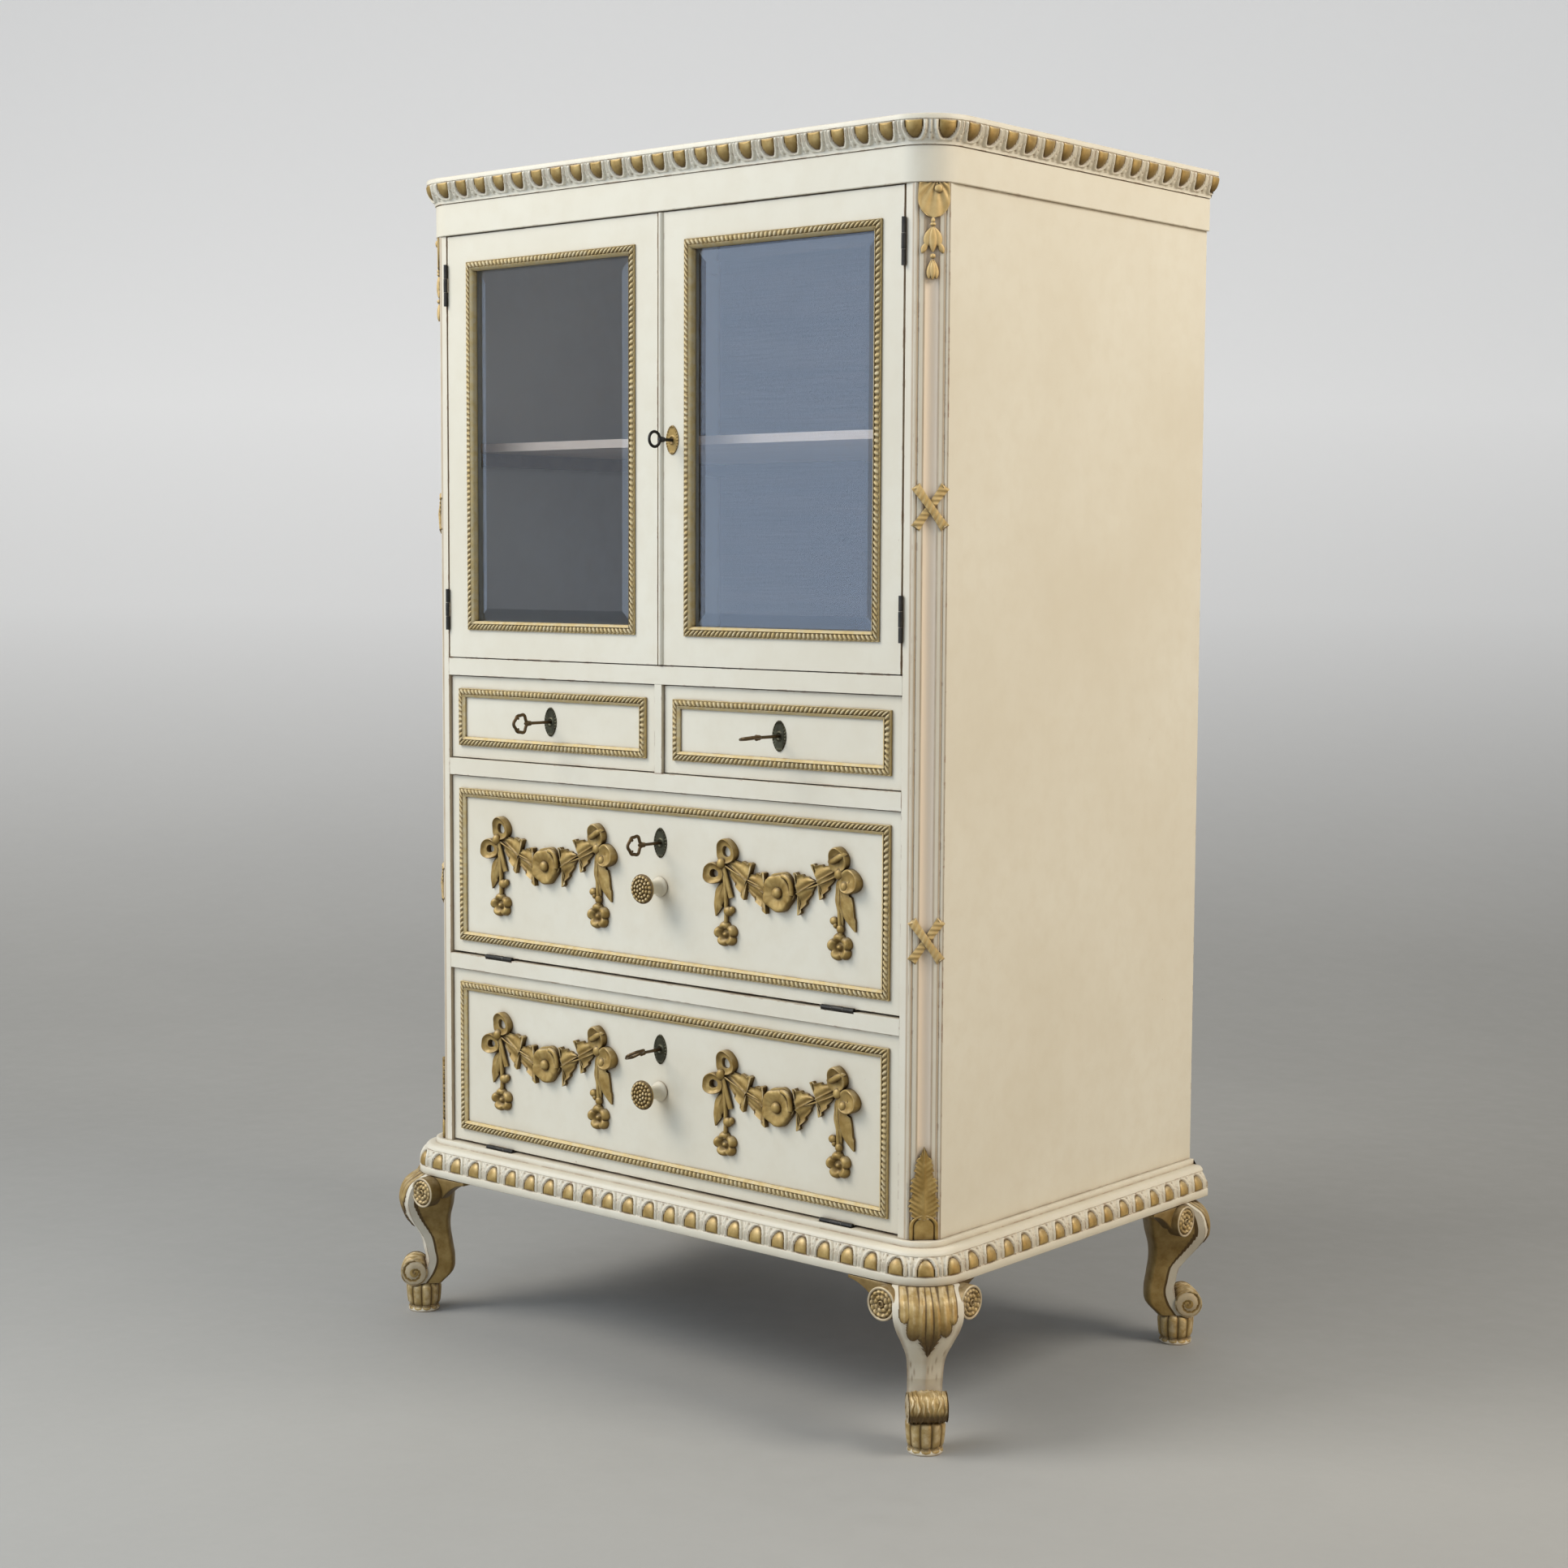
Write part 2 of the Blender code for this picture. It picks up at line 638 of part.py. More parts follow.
def leg_wing(side, edge):
    """Wing of a leg under the base, along the side whose edge is this far out from the leg's frame: full
    height at the leg, with a hollow lower edge, and thin at its far end."""
    middle = (EAR_SPREAD - EAR_REACH) / math.sqrt(2)
    top = LEG_HEIGHT - FIT
    outline = [(middle - WING_LAP, top), (middle + WING_LENGTH, top)]
    for t in np.linspace(1, 0, WING_STEPS):
        along = WING_ROOT + (WING_LENGTH - WING_ROOT) * t
        height = WING_TIP + (WING_HEIGHT - WING_TIP) * (1 - t) ** 2
        outline.append((middle + along, top - height))
    outline.append((middle - WING_LAP, top - WING_HEIGHT))
    face = edge - WING_SETBACK
    low, high = sorted((-side * face, -side * (face - WING_THICKNESS)))
    mesh = extruded([outline], low, high, upright=True)
    mesh.transform(Matrix.Rotation(math.pi - side * math.pi / 4, 4, "Z"))
    return mesh


def leg_mesh(inset_by, knee):
    """A leg in its own frame: shaft with knee, scroll, pad foot, and a rosette and a wing on each side."""
    scroll_half = SCROLL_WIDTH / 2
    shapes = [loft(leg_sections(knee))]
    for radius, half in ((SCROLL_RADIUS, scroll_half), (EYE_RADIUS, scroll_half + EYE_PROUD)):
        start = (SCROLL_REACH, -half, SCROLL_HEIGHT)
        shapes.append(rod(start, (SCROLL_REACH, half, SCROLL_HEIGHT), radius, LEG_ROUND_SIDES))
    pad = [(0.0, PAD_HEIGHT), (PAD_NECK_RADIUS, PAD_HEIGHT), (PAD_RADIUS, PAD_SHOULDER)]
    pad += [(PAD_WAIST_RADIUS, PAD_WAIST), (FOOT_RADIUS, 0.0), (0.0, 0.0)]
    foot = turned(pad, LEG_ROUND_SIDES)
    foot.transform(Matrix.Translation((FOOT_REACH, 0, 0)))
    shapes.append(foot)
    middle = LEG_HEIGHT - EAR_RADIUS - FIT
    edge = FOOT_REACH / math.sqrt(2) + inset_by
    for side in (-1, 1):
        outwards = Vector((1, side, 0)).normalized()
        face = Vector((EAR_REACH, side * EAR_SPREAD, middle))
        shapes.append(rod(face - outwards * EAR_THICKNESS, face, EAR_RADIUS, LEG_ROUND_SIDES))
        shapes.append(leg_wing(side, edge))
    return union(shapes)


def build_legs():
    """Four cabriole legs on the diagonals, with their wings under the sides of the base."""
    corner_x = CASE_WIDTH / 2 + BASE_OVERHANG
    for row, y, lead, inset_by, knee in (
        ("front", at_depth(-BASE_OVERHANG), -1, LEG_INSET_FRONT, 0.0),
        ("rear", at_depth(CASE_DEPTH), 1, LEG_INSET_REAR, REAR_KNEE),
    ):
        leg = leg_mesh(inset_by, knee)
        for side, sign in SIDES:
            place = Matrix.Translation((sign * (corner_x - inset_by), y - lead * inset_by, 0))
            turn = Matrix.Rotation(math.atan2(lead, sign), 4, "Z")
            mesh = leg.copy()
            mesh.transform(place @ turn @ Matrix.Translation((-FOOT_REACH, 0, 0)))
            piece(f"leg_{row}_{side}", mesh, CREAM)


def fluted_cant():
    """Points across the canted face of the right post: flute in the middle, reed and groove on each side."""
    reach = FLUTE_WIDTH / 2
    hollow = [(t, FLUTE_DEPTH * (1 - (t / reach) ** 2)) for t in np.linspace(-reach, reach, 9)]
    groove = reach + REED_WIDTH
    right = [(groove, 0.0), (groove + GROOVE_WIDTH / 2, GROOVE_DEPTH), (groove + GROOVE_WIDTH, 0.0)]
    left = [(-t, depth) for t, depth in reversed(right)]
    middle = Vector((OPENING_HALF + POST_FILLET + POST_CANT / 2, at_depth(POST_CANT / 2)))
    along = Vector((1, 1)).normalized()
    inwards = Vector((-1, 1)).normalized()
    return [middle + along * float(t) + inwards * float(depth) for t, depth in left + hollow + right]


def build_posts():
    """Front corner posts with canted, fluted faces. The side panels lap onto them behind the cant."""
    half = CASE_WIDTH / 2
    lap = INNER_HALF - FIT
    outline = [(OPENING_HALF, at_depth(0)), (OPENING_HALF + POST_FILLET, at_depth(0))]
    outline += [tuple(point) for point in fluted_cant()]
    outline += [(half, at_depth(POST_CANT)), (lap, at_depth(POST_CANT))]
    outline += [(lap, at_depth(POST_DEPTH)), (OPENING_HALF, at_depth(POST_DEPTH))]
    for side, sign in SIDES:
        loop = [(sign * x, y) for x, y in outline][::sign]
        piece(f"post_{side}", extruded([loop], BASE_TOP + FIT, FRIEZE_BOTTOM - FIT), CREAM)


def build_panels():
    """Side panels, and the thin back between them."""
    for side, sign in SIDES:
        inner, outer = sorted((sign * INNER_HALF, sign * CASE_WIDTH / 2))
        low = (inner, at_depth(POST_CANT + FIT), BASE_TOP + FIT)
        high = (outer, at_depth(CASE_DEPTH), FRIEZE_BOTTOM - FIT)
        piece(f"side_panel_{side}", block(low, high), CREAM)
    reach = INNER_HALF - FIT
    back = block(
        (-reach, at_depth(CASE_DEPTH - BACK_THICKNESS), BASE_TOP + FIT),
        (reach, at_depth(CASE_DEPTH), CORNICE_TOP - TOP_BOARD_THICKNESS - FIT),
    )
    piece("back_panel", back, STAINED)


def cut_hinge_seats(obj, level):
    """Lets the knuckles of a flap's hinges into the front edge below the flap."""
    axis = flap_axis(level + HINGE_GAP)
    room = FLAP_KNUCKLE_RADIUS + LEAF_GAP
    for side, sign in SIDES:
        x = sign * (OPENING_HALF - FLAP_HINGE_INSET)
        reach = FLAP_HINGE_LENGTH / 2 + LEAF_GAP
        seat = block(
            (x - reach, axis.y - room, axis.z - room), (x + reach, axis.y + room, axis.z + HINGE_GAP)
        )
        cut(obj, seat, f"{obj.name}_hinge_seat_{side}")


def cut_strike(obj, x, level, recess):
    """Mortise in a rail's underside that takes the bolt below it."""
    half_width = BOLT_WIDTH / 2 + FIT
    front = at_depth(recess + BOLT_SETBACK)
    depth = BOLT_TRAVEL + FIT
    low = (x - half_width, front - FIT, level - depth)
    high = (x + half_width, front + BOLT_THICKNESS + FIT, level + depth)
    cut(obj, block(low, high), f"{obj.name}_strike_{'left' if x < 0 else 'right' if x > 0 else 'middle'}")


def build_rails():
    """Rails across the front, with bolt mortises below and hinge seats above."""
    reach = OPENING_HALF - FIT
    for name, bottom, top in (
        ("rail_lower", LOWER_RAIL_BOTTOM, LOWER_RAIL_TOP),
        ("rail_middle", MIDDLE_RAIL_BOTTOM, MIDDLE_RAIL_TOP),
        ("rail_upper", UPPER_RAIL_BOTTOM, UPPER_RAIL_TOP),
    ):
        bar = block((-reach, at_depth(0), bottom), (reach, at_depth(POST_DEPTH), top))
        rail = piece(name, bar, CREAM)
        if name == "rail_lower":
            cut_hinge_seats(rail, top)
        if name == "rail_upper":
            for _, sign in SIDES:
                cut_strike(rail, sign * drawer_middle(), bottom, FRONT_RECESS)
        else:
            cut_strike(rail, 0.0, bottom, FRONT_RECESS)


def build_decks():
    """Boards behind the rails, the drawer divider, and the shelf on its cleats."""
    reach = INNER_HALF - FIT
    for name, top in (("flap_deck", LOWER_RAIL_TOP), ("display_floor", UPPER_RAIL_TOP)):
        low = (-reach, at_depth(DECK_FRONT), top - DECK_THICKNESS)
        piece(name, block(low, (reach, at_depth(DECK_BACK), top)), STAINED)
    top = MIDDLE_RAIL_TOP
    guide = OPENING_HALF + FIT
    section = [(-reach, top - DECK_THICKNESS), (reach, top - DECK_THICKNESS), (reach, top + GUIDE_HEIGHT)]
    section += [(guide, top + GUIDE_HEIGHT), (guide, top), (-guide, top)]
    section += [(-guide, top + GUIDE_HEIGHT), (-reach, top + GUIDE_HEIGHT)]
    deck = extruded([section], at_depth(DECK_FRONT), at_depth(DECK_BACK), upright=True)
    piece("drawer_deck", deck, STAINED)
    half = DIVIDER_THICKNESS / 2
    divider = block(
        (-half, at_depth(0), MIDDLE_RAIL_TOP + FIT), (half, at_depth(DECK_BACK), UPPER_RAIL_BOTTOM - FIT)
    )
    piece("drawer_divider", divider, CREAM)
    shelf_bottom = SHELF_TOP - SHELF_THICKNESS
    shelf = block(
        (-reach, at_depth(SHELF_SETBACK), shelf_bottom), (reach, at_depth(DECK_BACK), SHELF_TOP)
    )
    piece("shelf", shelf, PALE)
    for side, sign in SIDES:
        near, far = sorted((sign * (reach - CLEAT_THICKNESS), sign * reach))
        low = (near, at_depth(SHELF_SETBACK), shelf_bottom - FIT - CLEAT_HEIGHT)
        high = (far, at_depth(DECK_BACK), shelf_bottom - FIT)
        piece(f"shelf_cleat_{side}", block(low, high), STAINED)


def build_top():
    """Frieze, cornice and the board let into the top of the cornice."""
    inner = FRIEZE_PROUD - FRIEZE_THICKNESS
    frieze = [(inner, FRIEZE_TOP), (FRIEZE_PROUD, FRIEZE_TOP)]
    frieze += [(FRIEZE_PROUD, FRIEZE_BOTTOM), (inner, FRIEZE_BOTTOM)]
    piece("frieze", moulding(frieze, CASE_CORNER_RADIUS), CREAM)
    inside = CORNICE_OVERHANG - CORNICE_WIDTH
    ledge = CORNICE_TOP - TOP_BOARD_THICKNESS - FIT
    rim = inside + TOP_LEDGE
    foot = CORNICE_BOTTOM + CORNICE_FOOT_HEIGHT
    lip = CORNICE_TOP - CORNICE_LIP
    profile = [(inside, CORNICE_BOTTOM), (inside, ledge), (rim, ledge), (rim, CORNICE_TOP)]
    profile.append((CORNICE_OVERHANG, CORNICE_TOP))
    profile += swelling((CORNICE_OVERHANG, lip), (CORNICE_FOOT, foot), CORNICE_SWELL)
    profile.append((CORNICE_FOOT, CORNICE_BOTTOM))
    piece("cornice", moulding(profile, CASE_CORNER_RADIUS), CREAM)
    board = board_in_moulding(rim - FIT, CASE_CORNER_RADIUS, CORNICE_TOP - TOP_BOARD_THICKNESS, CORNICE_TOP)
    piece("top_board", board, CREAM)


def hinge_leaves(radius, length):
    """Fixed and moving leaf of a butt hinge, drawn closed.

    The pin runs along Z, the leaves reach back along Y from the face of the panel, and the fixed leaf
    lies on the +X side. The fixed leaf carries the pin and the outer knuckles, the moving one the middle.
    """
    near, far = LEAF_GAP / 2, LEAF_GAP / 2 + LEAF_THICKNESS
    panel_edge = HINGE_GAP / 2
    sunk = panel_edge + LEAF_THICKNESS
    face = radius + FIT
    start = face + LEAF_GAP
    third = length / 6
    inner = third + FIT
    half = length / 2
    neck = start + LEAF_THICKNESS
    fixed = [block((near, start, -half), (far, face + LEAF_DEPTH, half))]
    fixed.append(rod((0, 0, -half), (0, 0, half), PIN_RADIUS))
    for low, high in ((-half, -inner), (inner, half)):
        fixed.append(block((near, 0, low), (far, neck, high)))
        fixed.append(rod((0, 0, low), (0, 0, high), radius))
    moving = [block((-sunk, start, -half), (-near, face + LEAF_DEPTH, half))]
    moving.append(block((-sunk, 0, -third), (-near, neck, third)))
    moving.append(rod((0, 0, -third), (0, 0, third), radius))
    bore = rod((0, 0, -half), (0, 0, half), BORE_RADIUS)
    return union(fixed), without(union(moving), bore)


def door_axis(sign):
    """Middle of a door's hinge axis."""
    face = DOOR_KNUCKLE_RADIUS + FIT
    return Vector((sign * (OPENING_HALF - HINGE_GAP / 2), at_depth(-face), DOOR_MIDDLE))


def flap_axis(flap_bottom):
    """Middle of a flap's hinge axis."""
    face = FLAP_KNUCKLE_RADIUS + FIT
    return Vector((0.0, at_depth(FRONT_RECESS - face), flap_bottom - HINGE_GAP / 2))


def bead_frame(box, inset_by, width, low, high):
    """Flat moulding frame set in from the edges of a front."""
    return extruded([inset(box, inset_by), inset(box, inset_by + width)[::-1]], low, high, upright=True)


def build_lock(panel, label, key_at, edge, bow_radius, reach, key_turn):
    """Keyhole and bolt mortise in a front, with the key and the bolt that it throws.

    key_at is the keyhole on the front's face, and edge the point straight on from it at the front's edge.
    """
    key_at, edge = Vector(key_at), Vector(edge)
    back = Vector((0, 1, 0))
    throw = (edge - key_at).normalized()
    side = throw.cross(back)
    hole = rod(key_at - back * RUN_GAP, key_at + back * (BOLT_SETBACK + FIT), KEY_RADIUS + FIT)
    cut(panel, hole, f"{label}_keyhole")
    tail = key_at - throw * BOLT_TAIL
    end = edge - throw * BOLT_SUNK

    def bar(start, stop, play):
        corners = [start - side * (BOLT_WIDTH / 2 + play) + back * (BOLT_SETBACK - play)]
        corners.append(stop + side * (BOLT_WIDTH / 2 + play) + back * (BOLT_SETBACK + BOLT_THICKNESS + play))
        low = [min(pair) for pair in zip(*corners)]
        high = [max(pair) for pair in zip(*corners)]
        return block(low, high)

    cut(panel, bar(tail - throw * FIT, edge + throw * RUN_GAP, FIT), f"{label}_bolt_mortise")
    bolt = bar(tail, end, 0.0)
    piece(f"bolt_{label}", bolt, IRON, axis_empty(f"bolt_{label}_axis", (tail + end) / 2))
    key = key_mesh(bow_radius, reach)
    key.transform(Matrix.Translation(key_at) @ Matrix.Rotation(key_turn, 4, "Y"))
    piece(f"key_{label}", key, BRONZE, axis_empty(f"key_{label}_axis", key_at))


def key_mesh(bow_radius, reach):
    """Key along Y with its tip inside the lock, and a ring bow standing in the YZ plane."""
    bow = Vector((0, bow_radius + KEY_BOW_WIRE - reach, 0))
    turns = [2 * math.pi * k / KEY_BOW_POINTS for k in range(KEY_BOW_POINTS)]
    ring = [bow + Vector((0, math.cos(t), math.sin(t))) * bow_radius for t in turns]
    root = bow.y + bow_radius - KEY_BOW_WIRE / 2
    shapes = [rod((0, root, 0), (0, KEY_DEPTH, 0), KEY_RADIUS)]
    shapes.append(rod((0, root, 0), (0, root + KEY_COLLAR_LENGTH, 0), KEY_COLLAR_RADIUS))
    shapes.append(tube(ring, KEY_BOW_WIRE, closed=True))
    return union(shapes)


def build_door(side, sign, leaves):
    """Glazed door: grooved frame with its half of the hinges, pane and gilded bead."""
    fixed_leaf, moving_leaf = leaves
    axis = door_axis(sign)
    body = axis_empty(f"door_{side}_axis", axis)
    meeting = MEETING_GAP / 2
    outer = OPENING_HALF - HINGE_GAP
    left, right = sorted((sign * meeting, sign * outer))
    shift = GLAZING_SHIFT if sign > 0 else 0.0
    opening = (
        left + DOOR_STILE + shift,
        DOOR_BOTTOM + DOOR_FOOT_RAIL,
        right - DOOR_STILE + shift,
        DOOR_TOP - DOOR_TOP_RAIL,
    )
    face, rear = at_depth(0), at_depth(DOOR_THICKNESS)
    outline = rectangle(left, DOOR_BOTTOM, right, DOOR_TOP)
    slab = extruded([outline, rectangle(*opening)[::-1]], face, rear, upright=True)
    frame = piece(f"door_frame_{side}", slab, CREAM, body)
    groove_low = at_depth(PANE_SETBACK)
    groove_high = at_depth(PANE_SETBACK + PANE_EDGE + 2 * FIT)
    groove = extruded([inset(opening, -PANE_GROOVE)], groove_low, groove_high, upright=True)
    cut(frame, groove, f"door_{side}_groove")
    for height in (DOOR_BOTTOM + DOOR_HINGE_INSET, DOOR_TOP - DOOR_HINGE_INSET):
        label = "lower" if height < DOOR_MIDDLE else "upper"
        turn = Matrix.Identity(4) if sign > 0 else Matrix.Rotation(math.pi, 4, "Y")
        place = Matrix.Translation((axis.x, axis.y, height)) @ turn
        moving = moving_leaf.copy()
        moving.transform(place)
        add(frame, moving, f"door_{side}_{label}_leaf")
        fixed = fixed_leaf.copy()
        fixed.transform(place)
        piece(f"door_hinge_{side}_{label}", fixed, IRON)
    edge, lip, flat = inset(opening, FIT - PANE_GROOVE), rectangle(*opening), inset(opening, PANE_BEVEL)
    pane_back = at_depth(PANE_SETBACK + FIT + PANE_EDGE)
    margin = pane_back - PANE_EDGE
    layers = ((edge, pane_back), (edge, margin), (lip, margin), (flat, pane_back - PANE_THICKNESS))
    pane = loft([[(x, y, z) for x, z in loop] for loop, y in layers])
    piece(f"glass_{side}", pane, GLASS, body)
    bead = bead_frame(
        opening, DOOR_BEAD_LAP - DOOR_BEAD_WIDTH, DOOR_BEAD_WIDTH, at_depth(-DOOR_BEAD_PROUD), at_depth(-FIT)
    )
    piece(f"door_bead_{side}", bead, GILT, body)
    return frame


def build_doors():
    """Both doors. The right one carries the meeting strip and the lock, whose bolt enters the left one."""
    leaves = hinge_leaves(DOOR_KNUCKLE_RADIUS, DOOR_HINGE_LENGTH)
    left, right = (build_door(side, sign, leaves) for side, sign in SIDES)
    meeting = MEETING_GAP / 2
    near, far = meeting + FIT, meeting + ASTRAGAL_WIDTH
    arc = swelling((near, at_depth(0)), (far, at_depth(0)), -ASTRAGAL_PROUD, 8)
    root = at_depth(ASTRAGAL_ROOT)
    strip = extruded([[(near, root), *arc, (far, root)]], DOOR_BOTTOM + FIT, DOOR_TOP - FIT)
    add(right, strip, "meeting_strip")
    build_lock(
        right,
        "door",
        (DOOR_LOCK_INSET, at_depth(0), DOOR_MIDDLE),
        (meeting, at_depth(0), DOOR_MIDDLE),
        DOOR_BOW_RADIUS,
        DOOR_KEY_REACH,
        0.0,
    )
    half = BOLT_WIDTH / 2 + FIT
    front = at_depth(BOLT_SETBACK)
    strike = block(
        (-meeting - BOLT_TRAVEL, front - FIT, DOOR_MIDDLE - half),
        (meeting, front + BOLT_THICKNESS + FIT, DOOR_MIDDLE + half),
    )
    cut(left, strike, "door_left_strike")


def drawer_middle():
    """Distance of a drawer's middle from the middle of the cabinet."""
    return (DRAWER_INNER + DRAWER_OUTER) / 2


def build_drawer(side, sign, key_turn):
    """Drawer: moulded front, and an open box behind it that runs on the deck."""
    x = sign * drawer_middle()
    body = axis_empty(f"drawer_{side}_axis", (x, at_depth(FRONT_RECESS), DRAWER_MIDDLE))
    left, right = sorted((sign * DRAWER_INNER, sign * DRAWER_OUTER))
    box = (left, DRAWER_BOTTOM, right, DRAWER_TOP)
    face = at_depth(FRONT_RECESS)
    rear = at_depth(FRONT_RECESS + FRONT_THICKNESS)
    front = piece(f"drawer_front_{side}", block((left, face, box[1]), (right, rear, box[3])), CREAM, body)
    bead = bead_frame(box, FRONT_BEAD_INSET, FRONT_BEAD_WIDTH, face - FRONT_BEAD_PROUD, face + BEAD_SINK)
    add(front, bead, f"drawer_{side}_bead")
    low = Vector((left + RUN_GAP, rear + FIT, MIDDLE_RAIL_TOP + FIT))
    high = Vector((right - RUN_GAP, rear + DRAWER_BOX_DEPTH, low.z + DRAWER_BOX_HEIGHT))
    carcass = piece(f"drawer_box_{side}", block(low, high), PALE, body)
    wall = Vector((DRAWER_WALL, DRAWER_WALL, 0))
    floor = Vector((0, 0, DRAWER_FLOOR))
    cut(carcass, block(low + wall + floor, high - wall + floor), f"drawer_{side}_inside")
    build_lock(
        front,
        f"drawer_{side}",
        (x, face, DRAWER_MIDDLE),
        (x, face, DRAWER_TOP),
        KEY_BOW_RADIUS,
        DRAWER_KEY_REACH,
        key_turn,
    )


def knob_mesh():
    """Turned knob along Z, from its seat up to its face."""
    head_back = KNOB_LENGTH - KNOB_HEAD
    profile = [(0.0, KNOB_LENGTH), (KNOB_CROWN_RADIUS, KNOB_LENGTH)]
    profile += [(KNOB_FACE_RADIUS, KNOB_LENGTH - KNOB_RIM), (KNOB_HEAD_BACK_RADIUS, head_back)]
    profile += [(KNOB_NECK_RADIUS, head_back - KNOB_RIM), (KNOB_NECK_RADIUS, head_back / 2)]
    profile += [(KNOB_SEAT_RADIUS, KNOB_SEAT_HEIGHT), (KNOB_SEAT_RADIUS, 0.0), (0.0, 0.0)]
    return turned(profile, KNOB_STEPS)


def ring_points(middle, radius, count):
    """Points spaced round a circle in the XZ plane."""
    turns = [2 * math.pi * k / count for k in range(count)]
    return [middle + Vector((math.cos(t), 0, math.sin(t))) * radius for t in turns]


def garland_mesh():
    """Carved swag in the XZ plane, its flat back at y = 0: rose, leafy swags, bows and flower drops."""
    profile = [(0.0, ROSE_HEIGHT), (ROSE_EYE_RADIUS, ROSE_DISH_HEIGHT)]
    profile += [(ROSE_PETAL_RADIUS, ROSE_PETAL_HEIGHT), (ROSE_RADIUS, ROSE_RIM_HEIGHT)]
    profile += [(ROSE_RADIUS, 0.0), (0.0, 0.0)]
    rose = turned(profile, ROSE_STEPS)
    rose.transform(Matrix.Rotation(math.pi / 2, 4, "X"))
    shapes = [rose]
    for side, turns in zip((-1, 1), LOOP_TURNS):
        knot = Vector((side * BOW_SPREAD, -RELIEF_LIFT, BOW_RISE))
        start = Vector((side * ROSE_PETAL_RADIUS, -RELIEF_LIFT, 0))
        sag = Vector((0, 0, -SWAG_SAG))
        swag = [start.lerp(knot, t) + sag * 4 * t * (1 - t) for t in np.linspace(0, 1, len(SWAG_SWELL))]
        shapes.append(tube(swag, SWAG_RADIUS, SWAG_SWELL))
        for turn, lift in zip(turns, (0.0, LOOP_STAGGER)):
            way = Vector((math.cos(math.radians(turn)), 0, math.sin(math.radians(turn))))
            middle = knot + way * LOOP_REACH - Vector((0, lift, 0))
            loop = ring_points(middle, LOOP_RADIUS, LOOP_POINTS)
            shapes.append(tube(loop, LOOP_WIRE, closed=True))
        end = knot - Vector((0, 0, DROP_LENGTH))
        drop = [knot.lerp(end, t) for t in np.linspace(0, 1, len(DROP_SWELL))]
        shapes.append(tube(drop, DROP_RADIUS, DROP_SWELL))
        shapes.append(ball(end, (FLOWER_RADIUS, FLOWER_HEIGHT, FLOWER_RADIUS)))
    carved = union(shapes)
    reach = 2 * BOW_SPREAD
    return without(carved, block((-reach, -FIT, -reach), (reach, reach, reach)))


def build_flap(label, bottom, top, key_turn, leaves, garland):
    """Fall-front flap: panel with its half of the hinges, knob and two garlands."""
    fixed_leaf, moving_leaf = leaves
    axis = flap_axis(bottom)
    body = axis_empty(f"flap_{label}_axis", axis)
    left, right = RUN_GAP - OPENING_HALF, OPENING_HALF - RUN_GAP
    face = at_depth(FRONT_RECESS)
    rear = at_depth(FRONT_RECESS + FRONT_THICKNESS)
    panel = piece(f"flap_panel_{label}", block((left, face, bottom), (right, rear, top)), CREAM, body)
    box = (left, bottom, right, top)
    bead = bead_frame(box, FRONT_BEAD_INSET, FRONT_BEAD_WIDTH, face - FRONT_BEAD_PROUD, face + BEAD_SINK)
    add(panel, bead, f"flap_{label}_bead")
    turn = Matrix(((0, 0, 1, 0), (0, 1, 0, 0), (-1, 0, 0, 0), (0, 0, 0, 1)))
    for side, sign in SIDES:
        x = sign * (OPENING_HALF - FLAP_HINGE_INSET)
        place = Matrix.Translation((x, axis.y, axis.z)) @ turn
        moving = moving_leaf.copy()
        moving.transform(place)
        add(panel, moving, f"flap_{label}_{side}_leaf")
        fixed = fixed_leaf.copy()
        fixed.transform(place)
        piece(f"flap_hinge_{label}_{side}", fixed, IRON)
        swag = garland.copy()
        swag.transform(Matrix.Translation((sign * (OPENING_HALF - GARLAND_INSET), face, top - GARLAND_DROP)))
        piece(f"garland_{label}_{side}", swag, GILT, body)
    knob = knob_mesh()
    knob.transform(
        Matrix.Translation((0, face - FIT, (bottom + top) / 2)) @ Matrix.Rotation(math.pi / 2, 4, "X")
    )
    piece(f"knob_{label}", knob, CREAM, body)
    build_lock(
        panel,
        f"flap_{label}",
        (0.0, face, top - FLAP_KEY_DROP),
        (0.0, face, top),
        KEY_BOW_RADIUS,
        FLAP_KEY_REACH,
        key_turn,
    )


def build_fronts():
    """Drawers and flaps, with each key standing at its own angle."""
    for (side, sign), key_turn in zip(SIDES, DRAWER_KEY_TURNS):
        build_drawer(side, sign, math.radians(key_turn))
    leaves = hinge_leaves(FLAP_KNUCKLE_RADIUS, FLAP_HINGE_LENGTH)
    garland = garland_mesh()
    for (label, bottom, top), key_turn in zip(FLAPS, FLAP_KEY_TURNS):
        build_flap(label, bottom, top, math.radians(key_turn), leaves, garland)


build_base()
build_legs()
build_posts()
build_panels()
build_rails()
build_decks()
build_top()
build_doors()
build_fronts()
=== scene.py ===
"""Looks of the display cabinet: mouldings, gilded ornament, legs, fittings, finishes, light and camera.

Lengths are metres in the cabinet's own frame, where the front faces -Y and the right-hand side is +X.
Ornament is worked out in millimetres on a flat face and then laid on the piece that carries it.
"""

import logging
import math
from dataclasses import dataclass, field
from enum import Enum
from typing import Sequence

import bmesh
import bpy
import numpy as np
from mathutils import Matrix, Vector


